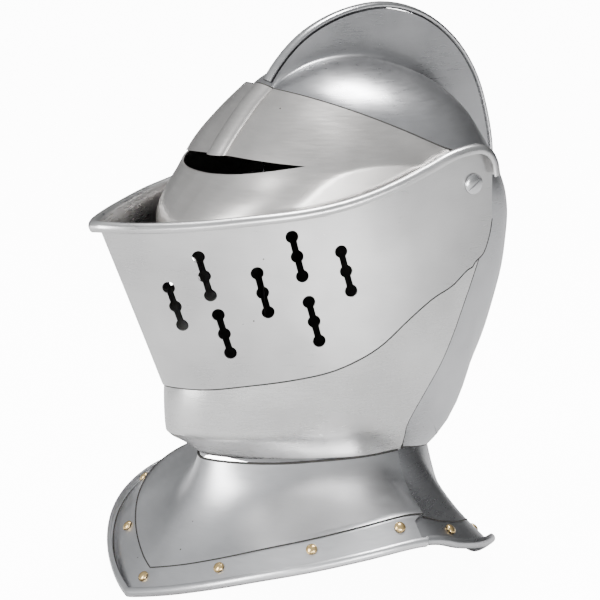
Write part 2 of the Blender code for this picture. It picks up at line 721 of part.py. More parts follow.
def build_bevor(parts, cutters, material):
    """The chin plate, from hidden ears at the pivots down to the neck."""
    alongs = [1.0, 0.975, 0.91, 0.80, 0.66, 0.52, 0.38, 0.28, 0.212, 0.18, 0.13, 0.075, 0.024, -0.30, -1.0]
    downs = [0.0, 0.30, 0.60, 0.78, 0.86, 0.94, 1.0]
    rows = []
    for v in downs:
        row = []
        for along in alongs:
            top = NECK_LEVEL * read_table(BEVOR_EDGES, "along", "top", along)
            low = NECK_LEVEL * read_table(BEVOR_EDGES, "along", "low", along)
            up = mix(top, low, v)
            out = along * bevor_reach(up) if along > 0 else along * EAR_RADIUS
            row.append(world(0.0 if along == 1.0 else bevor_width(out, up), out, up))
        rows.append(row)
    obj = grid_object("bevor", rows[::-1], parts, material)
    cut(obj, cutters["pivot"])
    return obj


def neck_ring(around, width_at):
    """Distance from the middle of the gorget to the neck line, in one direction."""
    turn = math.radians(around)
    low, high = 0.005, 0.160
    for _ in range(40):
        reach = (low + high) / 2
        out = GORGET_CENTRE + reach * math.cos(turn)
        width = width_at(out, neck_level(out))
        inside = width > 0 and reach * math.sin(turn) < width
        low, high = (reach, high) if inside else (low, reach)
    return low


def gorget_point(around, down, width_at, inset):
    """A point of a gorget plate: down is 0 at the neck, 1 at the crease and 2 at the rim."""
    turn = math.radians(around)
    depth = GORGET_FRONT if around < 90 else GORGET_BACK
    plain = 1.0 / math.sqrt((math.sin(turn) / GORGET_HALF_WIDTH) ** 2 + (math.cos(turn) / depth) ** 2)
    rim = plain * read_table(GORGET_RIM, "angle", "radius", around) - inset
    height = GORGET_ARCH * read_table(GORGET_RIM, "angle", "height", around)
    rim_level = height - PIVOT_HEIGHT + FLOOR_ROLL
    neck = neck_ring(around, width_at) - inset / 2
    top_level = neck_level(GORGET_CENTRE + neck * math.cos(turn)) - NECK_SEAT
    crease = rim - BAND_RUN
    crease_level = rim_level + BAND_FALL - inset
    if down <= 1:
        bow = mix(GORGET_BOW, NAPE_BOW, ease(96, 138, around))
        reach = mix(neck, crease, mix(down, down**2, bow))
        up = mix(top_level, crease_level, down)
    else:
        reach = mix(crease, rim, down - 1)
        up = mix(crease_level, rim_level, down - 1)
    return world(reach * math.sin(turn), GORGET_CENTRE + reach * math.cos(turn), up)


def seam_angle(down):
    """The seam runs forward as it falls from the neck to the rim."""
    return mix(SEAM_AT_NECK, SEAM_AT_RIM, min(1.0, down / 1.2))


def build_gorget(name, rear, steps, width_at, inset, parts, cutters, material):
    """One collar plate, from its middle line round to the seam."""
    downs = [0.0, 0.25, 0.50, 0.75, 1.0, 1.5, 2.0]
    middle = 180 if rear else 0
    rows = []
    for down in downs:
        seam = seam_angle(down)
        if rear:
            seam += SEAM_GAP - (SEAM_LAP + SEAM_GAP) * (1 - ease(0.80, 0.98, down))
        rows.append([gorget_point(mix(middle, seam, share), down, width_at, inset)
                     for share in shares(0.0, 1.0, steps)])
    for row in rows:
        row[0].x = 0.0
    outward, upward = edge_frames(rows[-1], rows[-2])
    outward = [o if o.z > 0 else -o for o in outward]
    rolled = curl(rows[-1], outward, upward, GORGET_ROLL, ROLL_TURNS)
    grid = rows + rolled
    obj = grid_object(name, grid if rear else grid[::-1], parts, material)
    cut(obj, cutters["rivets"])
    return obj


def rivet_places():
    """Every rivet, as the point on its plate and the plate's outward direction."""
    places = []
    for group, width_at, inset in ((FRONT_RIVETS, bevor_width, 0.0), (REAR_RIVETS, skull_width, REAR_INSET)):
        for around in group:
            step = 1.0
            middle = gorget_point(around, RIVET_LEVEL, width_at, inset)
            aside = gorget_point(min(180, around + step), RIVET_LEVEL, width_at, inset)
            other = gorget_point(max(0, around - step), RIVET_LEVEL, width_at, inset)
            below = gorget_point(around, RIVET_LEVEL + 0.1, width_at, inset)
            along = Vector((1, 0, 0)) if around in (0, 180) else (aside - other)
            face = along.cross(below - middle).normalized()
            face = face if face.z > 0 else -face
            name = "front" if group is FRONT_RIVETS else "rear"
            places.append((name, middle, face))
            if around not in (0, 180):
                other_side = Vector((-1, 1, 1))
                places.append((name, middle * other_side, face * other_side))
    return places


def rivet_cutter(cutters):
    bm = bmesh.new()
    for _, middle, face in rivet_places():
        add_cylinder(bm, RIVET_HOLE, middle - face * 0.006, middle + face * 0.006, 8)
    return cutter_object("rivet_cutter", bm, cutters)


def turned_object(name, profile, steps, middle, axis, collection, material, closed=False):
    """A turned piece: the profile runs down its outer side, radius against height."""
    bm = bmesh.new()
    verts = [bm.verts.new((radius, 0.0, height)) for radius, height in profile]
    for a, b in zip(verts, verts[1:]):
        bm.edges.new((a, b))
    if closed:
        bm.edges.new((verts[-1], verts[0]))
    obj = mesh_object(name, bm, collection, material)
    screw = obj.modifiers.new("Turn", "SCREW")
    screw.steps = steps
    screw.render_steps = steps
    screw.use_merge_vertices = True
    screw.merge_threshold = 0.00001
    obj.location = middle
    obj.rotation_mode = "QUATERNION"
    obj.rotation_quaternion = axis.to_track_quat("Z", "X")
    return obj


def mesh_object(name, bm, collection, material):
    mesh = bpy.data.meshes.new(name)
    bm.to_mesh(mesh)
    bm.free()
    mesh.shade_smooth()
    mesh.set_sharp_from_angle(angle=math.radians(40))
    return link(bpy.data.objects.new(name, mesh), collection, material)


def dome_profile(radius, height, rings):
    """Radius and height pairs of a low dome, from its top to its edge."""
    return [(radius * math.sin(math.pi / 2 * i / rings), height * math.cos(math.pi / 2 * i / rings))
            for i in range(rings + 1)]


def build_rivets(parts, material):
    under = RIVET_SEAT
    inner = -PLATE - RIVET_SEAT
    profile = [(r, under + h) for r, h in dome_profile(RIVET_RADIUS, RIVET_DOME, 2)]
    profile += [(RIVET_SHANK, under), (RIVET_SHANK, inner), (RIVET_TAIL, inner),
                (RIVET_TAIL, inner - 0.0008), (0.0, inner - 0.0008)]
    counts = {}
    for name, middle, face in rivet_places():
        counts[name] = counts.get(name, 0) + 1
        turned_object(f"{name}_rivet_{counts[name]}", profile, 6, middle, face, parts, material)


def slot_cutter(cutters):
    """Bars that cut the screwdriver slots in the two screw heads."""
    bm = bmesh.new()
    head = VENTAIL_HALF_WIDTH + SEAT_GAP + SCREW_DOME
    for side in (1, -1):
        turn = Matrix.Rotation(math.radians(35 * side), 4, "X")
        size = Matrix.Diagonal((2 * SLOT_DEPTH, 4 * SCREW_RADIUS, SLOT_WIDTH, 1))
        bmesh.ops.create_cube(bm, size=1.0, matrix=Matrix.Translation(world(side * head, 0, 0)) @ turn @ size)
    return cutter_object("slot_cutter", bm, cutters)


def build_pivots(parts, cutters, steel):
    """A slotted screw on each side through all four plates, with a plain nut inside."""
    under = VENTAIL_HALF_WIDTH + SEAT_GAP
    inner = SKULL_HALF_WIDTH - PLATE - NUT_SEAT
    end = inner - NUT_THICKNESS - 0.002
    for side, label in ((1, "left"), (-1, "right")):
        axis = Vector((side, 0, 0))
        profile = [(r, under + h) for r, h in dome_profile(SCREW_RADIUS, SCREW_DOME, 3)]
        profile += [(SCREW_SHANK, under), (SCREW_SHANK, end), (0.0, end)]
        screw = turned_object(f"pivot_screw_{label}", profile, 12, world(0, 0, 0), axis, parts, steel)
        cut(screw, cutters["slots"])
        ring = [(SCREW_SHANK + SEAT_GAP, inner), (NUT_RADIUS, inner), (NUT_RADIUS, inner - NUT_THICKNESS),
                (SCREW_SHANK + SEAT_GAP, inner - NUT_THICKNESS)]
        turned_object(f"pivot_nut_{label}", ring, 8, world(0, 0, 0), axis, parts, steel, closed=True)


def hang_on_pivot(parts):
    """Parents everything that opens to an empty on the pivot axis."""
    empty = bpy.data.objects.new("pivot_axis", None)
    empty.location = world(0, 0, 0)
    empty.empty_display_size = 0.02
    parts.objects.link(empty)
    for obj in parts.objects:
        if obj.name in ("visor", "ventail", "bevor", "front_gorget") or obj.name.startswith("front_rivet"):
            obj.parent = empty
            obj.matrix_parent_inverse = Matrix.Translation(-empty.location)


def skull_width(out, up):
    return head_width(out, up, SKULL_HALF_WIDTH)


def main():
    clear_scene()
    parts = bpy.data.collections.new("close_helmet")
    cutter_collection = bpy.data.collections.new("cutters")
    bpy.context.scene.collection.children.link(parts)
    bpy.context.scene.collection.children.link(cutter_collection)
    cutters = dict(
        pivot=pivot_hole_cutter(cutter_collection),
        slit=slit_cutter(cutter_collection),
        breaths=breath_cutter(cutter_collection),
        rivets=rivet_cutter(cutter_collection),
        slots=slot_cutter(cutter_collection),
    )
    steel = make_material("steel", STEEL)
    warm_steel = make_material("warm_steel", WARM_STEEL)
    brass = make_material("brass", BRASS)
    build_skull(parts, cutters, steel)
    build_comb_rim(parts, steel)
    build_visor(parts, cutters, warm_steel)
    build_ventail(parts, cutters, steel)
    build_bevor(parts, cutters, steel)
    build_gorget("front_gorget", False, 15, bevor_width, 0.0, parts, cutters, steel)
    build_gorget("rear_gorget", True, 13, skull_width, REAR_INSET, parts, cutters, steel)
    build_rivets(parts, brass)
    build_pivots(parts, cutters, steel)
    hang_on_pivot(parts)


main()
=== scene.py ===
"""Looks of the close helmet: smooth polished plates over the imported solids, rivets, screws and a studio.

Metres, +Z up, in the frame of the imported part. The face looks along -Y and the wearer's left is +X.
Side-view places are measured from the pivot axis: "out" is forward of it and "up" is above it.
"""
import math

import bmesh
import bpy
from mathutils import Matrix, Vector

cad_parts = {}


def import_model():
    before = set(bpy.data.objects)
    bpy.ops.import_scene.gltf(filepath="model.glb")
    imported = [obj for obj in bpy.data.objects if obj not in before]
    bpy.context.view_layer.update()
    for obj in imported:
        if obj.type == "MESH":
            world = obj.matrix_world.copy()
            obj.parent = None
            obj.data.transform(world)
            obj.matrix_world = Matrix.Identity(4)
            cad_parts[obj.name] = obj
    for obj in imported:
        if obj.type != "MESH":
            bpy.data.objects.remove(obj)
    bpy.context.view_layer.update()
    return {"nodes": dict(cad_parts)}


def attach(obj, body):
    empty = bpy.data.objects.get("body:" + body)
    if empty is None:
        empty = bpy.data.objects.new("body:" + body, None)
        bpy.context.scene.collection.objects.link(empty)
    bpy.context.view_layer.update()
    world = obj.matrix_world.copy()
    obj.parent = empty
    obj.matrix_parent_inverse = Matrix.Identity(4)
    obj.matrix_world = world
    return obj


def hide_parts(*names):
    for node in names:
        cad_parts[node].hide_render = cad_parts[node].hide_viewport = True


def table(columns, *rows):
    """Rows of numbers under the names of their columns."""
    return [dict(zip(columns.split(), row)) for row in rows]


# Overall sizes
PIVOT_HEIGHT = 0.28683        # pivot axis above the floor
PIVOT_BACK = 0.07852          # pivot axis behind the origin
SKULL_HALF_WIDTH = 0.095      # outside of the skull at the pivots
SKULL_DEPTH = 0.070           # pivot axis to the back of the skull
SKULL_EDGE_FRONT = 0.0595     # pivot axis to the front end of the skull's lower edge
PLATE = 0.0014                # thickness of every plate
PLATE_GAP = 0.0006            # running clearance between two plates at the pivots
SKULL_GAP = 0.0010            # further clearance between the skull and the bevor
SEAT_GAP = 0.0003             # between two pieces that touch

# Comb
COMB_HEIGHT = 0.036           # greatest height over the dome
COMB_HALF_WIDTH = 0.0034
COMB_ROOT = 0.011             # half width where the comb flares into the dome
RIM_STRIP_HALF_WIDTH = 0.0041
RIM_STRIP_THICKNESS = 0.0048

# Visor
VISOR_REACH = 0.151           # pivot axis to the face of the visor, just over the slit
RIDGE_HALF_WIDTH = 0.0095
RIDGE_HEIGHT = 0.0055
RIDGE_END = 0.58              # share of the way down the visor, where the ridge starts to fall
RIDGE_FOOT = 0.66             # and where it is flush, inside the slit
SLIT_HALF_LENGTH = 0.071      # measured across the helmet
SLIT_HEIGHT = 0.0122
SLIT_LEVEL = 0.0135           # middle of the slit above the pivot axis
SLIT_RISE = 0.0015            # rise of the slit from its middle to its ends
SLIT_TILT = 0.004             # the left end is this much higher than the middle

# Ventail
VENTAIL_REACH = 0.2398        # pivot axis to the tip of the prow
VENTAIL_DROP = 0.119          # height of the prow
VENTAIL_RAKE = 0.0515         # how far the foot of the prow falls back
VENTAIL_TIP_LEVEL = -0.020
ROLL_RADIUS = 0.0027          # outward roll of the top edge
BREATH_RADIUS = 0.0045
BREATH_PITCH = 0.0145         # between two holes of one breath
BREATH_SLOT = 0.0048

# Bevor
BEVOR_REACH = 0.1847          # pivot axis to the chin
CHIN_FLARE = 0.010            # how much fuller the chin grows just under the ventail
NECK_LEVEL = -0.192           # neck line at the front and the sides
NECK_BACK = 0.027             # back of the neck behind the pivot axis
NECK_SAG = 0.011              # the neck line is this much lower at the back
NECK_DIP = 0.003              # and this much lower at the front

# Gorget
GORGET_CENTRE = 0.064         # middle of the gorget, in front of the pivot axis
GORGET_HALF_WIDTH = 0.145
GORGET_FRONT = 0.153          # middle of the gorget to its front point
GORGET_BACK = 0.117           # middle of the gorget to its back
GORGET_ARCH = 0.0485          # height of the side edges above the floor
BAND_RUN = 0.016              # flat border outside the raised part, across
BAND_FALL = 0.017             # and down
GORGET_ROLL = 0.0022
GORGET_BOW = 0.62             # hollow of the flare in front, as a share
NAPE_BOW = 0.12               # and behind, where it runs down almost straight
FLOOR_ROLL = 0.00173           # the rolled rim reaches this far under its own line
NECK_SEAT = 0.0008             # the collar plates sit this far under the neck line
REAR_INSET = 0.0024           # the rear plate lies this far inside the front plate

# Fasteners
RIVET_RADIUS = 0.0040
RIVET_DOME = 0.0024
RIVET_SHANK = 0.0014
RIVET_TAIL = 0.0024
RIVET_SEAT = 0.0006           # clearance under the head and the tail, which sit on a curved plate
SCREW_RADIUS = 0.0073
SCREW_DOME = 0.0026
SCREW_SHANK = 0.0025
SCREW_HOLE = 0.0030
SLOT_WIDTH = 0.0014
SLOT_DEPTH = 0.0011
NUT_THICKNESS = 0.0035
NUT_SEAT = 0.0014              # the inside of the skull is curved, so the nut sits clear of it

STACK_STEP = PLATE + PLATE_GAP
EAR_RADIUS = 0.0165           # how far each face plate runs behind the pivot
BEVOR_HALF_WIDTH = SKULL_HALF_WIDTH + STACK_STEP + SKULL_GAP
VISOR_HALF_WIDTH = BEVOR_HALF_WIDTH + STACK_STEP
VENTAIL_HALF_WIDTH = VISOR_HALF_WIDTH + STACK_STEP

# Outline of the skull in side view. Angle in degrees, from straight ahead up and over to the nape;
# radius and comb as shares of SKULL_DEPTH and COMB_HEIGHT; bevor is the radius of the form that the sides
# of the bevor follow, as a share of SKULL_DEPTH too
SKULL_OUTLINE = table(
    "angle radius bevor comb",
    (20, 1.660, 3.00, 0.15),
    (31, 1.690, 3.00, 0.20),
    (42, 1.564, 3.00, 0.44),
    (52, 1.424, 3.00, 0.68),
    (63, 1.279, 3.00, 0.89),
    (75, 1.150, 3.00, 1.06),
    (88, 1.036, 3.00, 1.20),
    (103, 0.956, 3.00, 1.21),
    (120, 0.880, 3.00, 1.16),
    (140, 0.814, 3.00, 1.07),
    (160, 0.830, 3.00, 0.88),
    (180, 0.930, 3.00, 0.68),
    (195, 1.075, 3.00, 0.48),
    (206, 1.200, 3.00, 0.43),
    (222, 1.420, 3.00, 0.38),
    (235, 1.700, 3.00, 0.30),
    (243, 1.920, 3.00, 0.23),
    (251, 2.220, 3.00, 0.13),
    (257, 2.490, 3.00, 0.04),
    (263.3, 2.925, 3.00, 0.00),
    (270, 3.150, 3.20, 0.00),
    (280, 3.450, 3.60, 0.00),
    (289, 3.300, 3.90, 0.00),
    (300, 3.200, 3.88, 0.00),
    (330, 3.000, 3.70, 0.00),
    (345, 2.700, 3.00, 0.00),
    (355, 2.250, 3.00, 0.00),
    (365, 1.900, 3.00, 0.00),
    (372, 1.740, 3.00, 0.00),
    (380, 1.660, 3.00, 0.00),
)
HEAD_ROUNDNESS = 2.1

CROWN_ANGLES = [24, 33, 39, 46, 54, 64, 76, 89, 104, 121, 139, 157, 174, 189, 202, 214, 226, 237, 246, 254,
                263.3]

# Edge of the face opening in the skull, brow to neck, as shares of SKULL_DEPTH
FACE_EDGE = table(
    "along out up",
    (0.00, 1.300, 0.580),
    (0.12, 1.220, 0.545),
    (0.25, 1.060, 0.450),
    (0.38, 0.860, 0.220),
    (0.50, 0.700, -0.200),
    (0.62, 0.700, -0.800),
    (0.75, 0.780, -1.450),
    (0.88, 0.830, -2.150),
    (1.00, 0.850, -2.743),
)

# Middle line of the visor from the pivot: degrees, share of VISOR_REACH, and how square its front is
VISOR_OUTLINE = table(
    "angle radius roundness",
    (-24, 1.270, 2.10),
    (-12, 1.235, 2.15),
    (-7.7, 1.205, 2.25),
    (-3.3, 1.130, 2.40),
    (1, 1.045, 2.60),
    (5.6, 0.988, 2.70),
    (9, 0.955, 2.70),
    (18, 0.888, 2.45),
    (25, 0.848, 2.25),
    (31, 0.816, 2.15),
    (42, 0.759, 2.10),
    (52, 0.699, 2.10),
    (63, 0.800, 2.10),
    (75, 0.950, 2.10),
    (90, 1.100, 2.10),
    (180, 1.400, 2.10),
    (300, 1.400, 2.10),
)
# Edges of the visor: share of the way out to its middle line, levels as shares of VISOR_REACH
VISOR_EDGES = table(
    "along top low",
    (1.00, 0.420, -0.225),
    (0.93, 0.405, -0.216),
    (0.80, 0.370, -0.172),
    (0.62, 0.315, -0.127),
    (0.44, 0.255, -0.108),
    (0.28, 0.200, -0.100),
    (0.14, 0.155, -0.096),
    (0.00, 0.125, -0.095),
    (-0.60, 0.098, -0.083),
    (-1.00, 0.035, -0.035),
)

# Upper and lower edges of the ventail: share of the way out to the prow, levels as shares of VENTAIL_DROP
VENTAIL_EDGES = table(
    "along top_up low_up",
    (1.000, -0.168, -1.168),
    (0.920, -0.168, -1.162),
    (0.800, -0.155, -1.126),
    (0.665, -0.128, -1.089),
    (0.540, -0.105, -1.046),
    (0.440, -0.075, -0.985),
    (0.345, -0.030, -0.900),
    (0.240, 0.040, -0.760),
    (0.150, 0.115, -0.650),
    (0.075, 0.180, -0.585),
    (0.000, 0.205, -0.490),
    (-0.600, 0.175, -0.410),
    (-0.900, 0.110, -0.300),
    (-1.000, 0.040, -0.220),
)
VENTAIL_ROUNDNESS = dict(top=0.80, foot=0.70)

# Breaths of one side: share of the way out to the prow and level of the middle hole, as a share of the drop
BREATHS = table(
    "out up",
    (0.909, -0.48),
    (0.812, -0.29),
    (0.812, -0.64),
    (0.675, -0.39),
    (0.556, -0.18),
    (0.549, -0.57),
    (0.424, -0.28),
)
BREATH_LEAN = 0.27            # a breath leans back this much for each unit of fall

# Bevor: levels as shares of the neck level, half widths as shares of BEVOR_HALF_WIDTH
BEVOR_SECTIONS = table(
    "level reach width",
    (-0.30, 0.985, 1.000),
    (0.30, 0.985, 0.990),
    (0.55, 0.985, 0.955),
    (0.67, 0.988, 0.915),
    (0.735, 0.998, 0.885),
    (0.79, 1.002, 0.865),
    (0.885, 1.000, 0.815),
    (0.912, 0.992, 0.800),
    (0.945, 0.935, 0.765),
    (1.000, 0.8556, 0.722),
)
BEVOR_EDGES = table(
    "along top low",
    (1.000, 0.640, 1.000),
    (0.800, 0.630, 1.000),
    (0.600, 0.588, 1.000),
    (0.450, 0.480, 1.000),
    (0.330, 0.400, 1.000),
    (0.240, 0.320, 1.000),
    (0.212, 0.270, 1.000),
    (0.180, 0.190, 0.885),
    (0.130, 0.090, 0.780),
    (0.068, -0.030, 0.660),
    (0.024, -0.080, 0.540),
    (0.000, -0.092, 0.470),
    (-0.250, -0.088, 0.395),
    (-0.780, -0.055, 0.235),
    (-1.000, 0.000, 0.110),
)

# Rim of the gorget: degrees round from the front; radius as a share of the ellipse of the gorget's own
# sizes; height above the floor as a share of GORGET_ARCH
GORGET_RIM = table(
    "angle radius height",
    (0, 1.000, 0.00),
    (14, 0.965, 0.18),
    (28, 0.955, 0.38),
    (42, 0.965, 0.58),
    (56, 0.985, 0.75),
    (70, 1.000, 0.90),
    (84, 1.000, 1.00),
    (92, 1.000, 0.98),
    (100, 1.000, 0.85),
    (108, 1.000, 0.75),
    (116, 1.000, 0.67),
    (125, 1.000, 0.59),
    (134, 1.000, 0.47),
    (142, 1.000, 0.33),
    (150, 1.000, 0.17),
    (158, 1.000, 0.03),
    (164, 1.000, 0.00),
    (180, 1.000, 0.00),
)
FRONT_RIVETS = [0, 27.5, 56, 82.5]        # degrees round from the front, mirrored
REAR_RIVETS = [103, 138, 180]
RIVET_LEVEL = 1.36            # share of the way across the border, past 1
# Where the two collar plates meet, degrees round from the front
SEAM_AT_NECK = 113
SEAM_AT_RIM = 88
SEAM_GAP = 0.7
SEAM_LAP = 8.0                # the rear plate runs this far under the front plate, above its border

SCREW_EDGE = 0.0007            # straight edge of the screw head under its dome

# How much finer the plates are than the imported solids, and the steps round small turned pieces
FINER = 4
FINE_TURNS = list(range(20, 221, 20))   # degrees of the outward roll of an edge
ROUND_STEPS = 40
# Gap, crease and roll lines are thin dark tubes of painted shade.
LINE_RAISE = 0.0005            # how far a gap line stands towards the plate's outside
LINE_SET_OFF = 0.0005          # and past its edge
GAP_LINE = 0.0009              # radius of a gap line
CREASE_LINE = 0.0005           # and of a crease line, which lies in the surface
ROLL_LINE_RAISE = 0.0002      # the collar's roll line stands this far out of it
COLLAR_STEPS = 60             # from the middle line round to the seam
CAMERA_BACK = Vector((0.8194, -0.5321, 0.2130))   # from the helmet towards the camera
CAMERA_DISTANCE = 2.5
CAMERA_TARGET_OUT = 0.0763    # the camera looks at this place on the middle plane
CAMERA_TARGET_UP = -0.0917
LENS = 211.8
SENSOR = 36.0




def mix(a, b, share):
    return a + (b - a) * share


def ease(low, high, at):
    """Goes smoothly from 0 at low to 1 at high."""
    share = min(1.0, max(0.0, (at - low) / (high - low)))
    return share * share * (3.0 - 2.0 * share)


def read_table(table, key, column, at):
    """A smooth curve through the rows of a table, read at one value of its key column."""
    rows = table if table[0][key] < table[-1][key] else table[::-1]
    at = min(rows[-1][key], max(rows[0][key], at))
    last = len(rows) - 2
    i = next((k for k in range(last + 1) if at <= rows[k + 1][key]), last)

    def slope(k):
        before = rows[max(0, k - 1)]
        after = rows[min(len(rows) - 1, k + 1)]
        return (after[column] - before[column]) / (after[key] - before[key])

    span = rows[i + 1][key] - rows[i][key]
    t = (at - rows[i][key]) / span
    here, there = rows[i][column], rows[i + 1][column]
    return ((2 * t**3 - 3 * t**2 + 1) * here + (t**3 - 2 * t**2 + t) * span * slope(i)
            + (3 * t**2 - 2 * t**3) * there + (t**3 - t**2) * span * slope(i + 1))


def bulge(share, roundness, power=None):
    """Half width of a section, as a share: 1 at the pivot and 0 on the middle line."""
    inside = max(0.0, 1.0 - abs(share) ** roundness)
    return inside ** (1.0 / roundness if power is None else power)


def side_angle(out, up):
    """Degrees round from straight ahead, up and over; the front below the pivot is negative."""
    angle = math.degrees(math.atan2(up, out))
    return angle + 360.0 if angle < -100.0 else angle


def head_radius(angle, column="radius"):
    around = angle + 360.0 if angle < 20.0 else angle
    return SKULL_DEPTH * read_table(SKULL_OUTLINE, "angle", column, around)


def head_width(out, up, half_width, column="radius"):
    """Half width of the head form, which is round about the pivot axis so that plates can turn over it."""
    share = math.hypot(out, up) / head_radius(side_angle(out, up), column)
    return half_width * bulge(share, HEAD_ROUNDNESS)


def world(x, out, up):
    return Vector((x, PIVOT_BACK - out, PIVOT_HEIGHT + up))


def neck_level(out):
    return NECK_LEVEL - NECK_SAG * ease(0.040, -NECK_BACK, out) - NECK_DIP * ease(0.050, 0.130, out)


def shares(first, last, count):
    return [mix(first, last, i / (count - 1)) for i in range(count)]


def finer(values, times=FINER):
    """The same run of values with each step cut into equal smaller ones."""
    fine = [mix(a, b, k / times) for a, b in zip(values, values[1:]) for k in range(times)]
    return fine + [values[-1]]


def sheet_object(name, rows, outside, inside=None, smooth_angle=35.0):
    """A sheet through a grid of points, made whole across the middle plane and thickened inwards."""
    bm = bmesh.new()
    lattice = [[bm.verts.new(point) for point in row] for row in rows]
    for upper, lower in zip(lattice, lattice[1:]):
        for a, b, c, d in zip(upper, upper[1:], lower[1:], lower):
            bm.faces.new((a, b, c, d))
    mesh = bpy.data.meshes.new(name)
    bm.to_mesh(mesh)
    bm.free()
    obj = bpy.data.objects.new(name, mesh)
    bpy.context.scene.collection.objects.link(obj)
    mesh.materials.append(outside)
    # The second material goes on the inner side; for most plates it is the near-black painted shade.
    mesh.materials.append(inside or outside)
    mirror = obj.modifiers.new("Mirror", "MIRROR")
    mirror.merge_threshold = 0.00002
    solid = obj.modifiers.new("Plate", "SOLIDIFY")
    solid.thickness = PLATE
    solid.offset = -1.0
    solid.material_offset = 1
    mesh.shade_smooth()
    mesh.set_sharp_from_angle(angle=math.radians(smooth_angle))
    return obj


def cutter_object(name, bm):
    mesh = bpy.data.meshes.new(name)
    bm.to_mesh(mesh)
    bm.free()
    obj = bpy.data.objects.new(name, mesh)
    bpy.context.scene.collection.objects.link(obj)
    return obj


def settle(obj, cutters=()):
    """Cuts the holes, then keeps the finished mesh in place of its modifiers."""
    for cutter in cutters:
        boolean = obj.modifiers.new("Cut", "BOOLEAN")
        boolean.operation = "DIFFERENCE"
        boolean.solver = "EXACT"
        boolean.object = cutter
    depsgraph = bpy.context.evaluated_depsgraph_get()
    depsgraph.update()
    finished = bpy.data.meshes.new_from_object(obj.evaluated_get(depsgraph))
    obj.modifiers.clear()
    obj.data = finished
    finished.shade_smooth()
    finished.set_sharp_from_angle(angle=math.radians(35))
    return obj


def edge_line(name, edge, inner, body, material, radius=GAP_LINE, depth=PLATE - LINE_RAISE, whole=True):
    """A fine dark line of painted shade under the free edge of a plate or along a crease, on both sides of
    the helmet.
    """
    outward, upward = edge_frames(edge, inner)
    centre = world(0.0, 0.030, edge[len(edge) // 2].z - PIVOT_HEIGHT)
    points = []
    for point, out, up in zip(edge, outward, upward):
        away = out.normalized()
        away = away if away.dot(point - centre) > 0 else -away
        points.append(point - away * depth + up.normalized() * LINE_SET_OFF)
    mirrored = [Vector((-q.x, q.y, q.z)) for q in points]
    runs = [mirrored[:0:-1] + points] if whole else [points, mirrored]
    curve = bpy.data.curves.new(name, "CURVE")
    curve.dimensions = "3D"
    curve.bevel_depth = radius
    curve.bevel_resolution = 2
    curve.use_fill_caps = True
    for run in runs:
        spline = curve.splines.new("POLY")
        spline.points.add(len(run) - 1)
        for control, q in zip(spline.points, run):
            control.co = (*q, 1.0)
    drawn = bpy.data.objects.new(name, curve)
    bpy.context.scene.collection.objects.link(drawn)
    depsgraph = bpy.context.evaluated_depsgraph_get()
    depsgraph.update()
    mesh = bpy.data.meshes.new_from_object(drawn.evaluated_get(depsgraph))
    bpy.data.objects.remove(drawn, do_unlink=True)
    mesh.name = name
    mesh.materials.clear()
    mesh.materials.append(material)
    mesh.shade_smooth()
    line = bpy.data.objects.new(name, mesh)
    bpy.context.scene.collection.objects.link(line)
    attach(line, body)
    return line


def add_cylinder(bm, radius, start, end, sides):
    """A closed cylinder between two points."""
    axis = end - start
    turn = axis.to_track_quat("Z", "X").to_matrix().to_4x4()
    place = Matrix.Translation((start + end) / 2) @ turn
    bmesh.ops.create_cone(bm, cap_ends=True, segments=sides, radius1=radius, radius2=radius,
                          depth=axis.length, matrix=place)


def pivot_hole_cutter():
    bm = bmesh.new()
    reach = VENTAIL_HALF_WIDTH + 0.010
    add_cylinder(bm, SCREW_HOLE, world(-reach, 0, 0), world(reach, 0, 0), ROUND_STEPS)
    return cutter_object("pivot_hole_cutter", bm)


def curl(points, outward, upward, radius, turns):
    """Extra rows that roll a sheet's edge outwards; the first is nearest to the edge."""
    rows = []
    for degrees in turns:
        a = math.radians(degrees)
        rows.append([p + o * radius * (1.0 - math.cos(a)) + u * radius * math.sin(a)
                     for p, o, u in zip(points, outward, upward)])
    return rows


def edge_frames(edge, inner):
    """Outward and edgeward directions along an edge; the row next to it shows which way the sheet runs."""
    outward, upward = [], []
    for i, point in enumerate(edge):
        before = edge[max(0, i - 1)]
        after = edge[min(len(edge) - 1, i + 1)]
        along = (after - before).normalized()
        if i == 0:
            along = Vector((1.0, 0.0, 0.0))
        up = (point - inner[i])
        up = (up - along * up.dot(along)).normalized()
        out = along.cross(up).normalized()
        if i == 0:
            side = (edge[1] - edge[0]).normalized()
            stretch = 1.0 / max(0.55, abs(side.x))
            out = Vector((0.0, out.y, out.z)) * stretch
            up = Vector((0.0, up.y, up.z)).normalized()
        outward.append(out)
        upward.append(up)
    return outward, upward


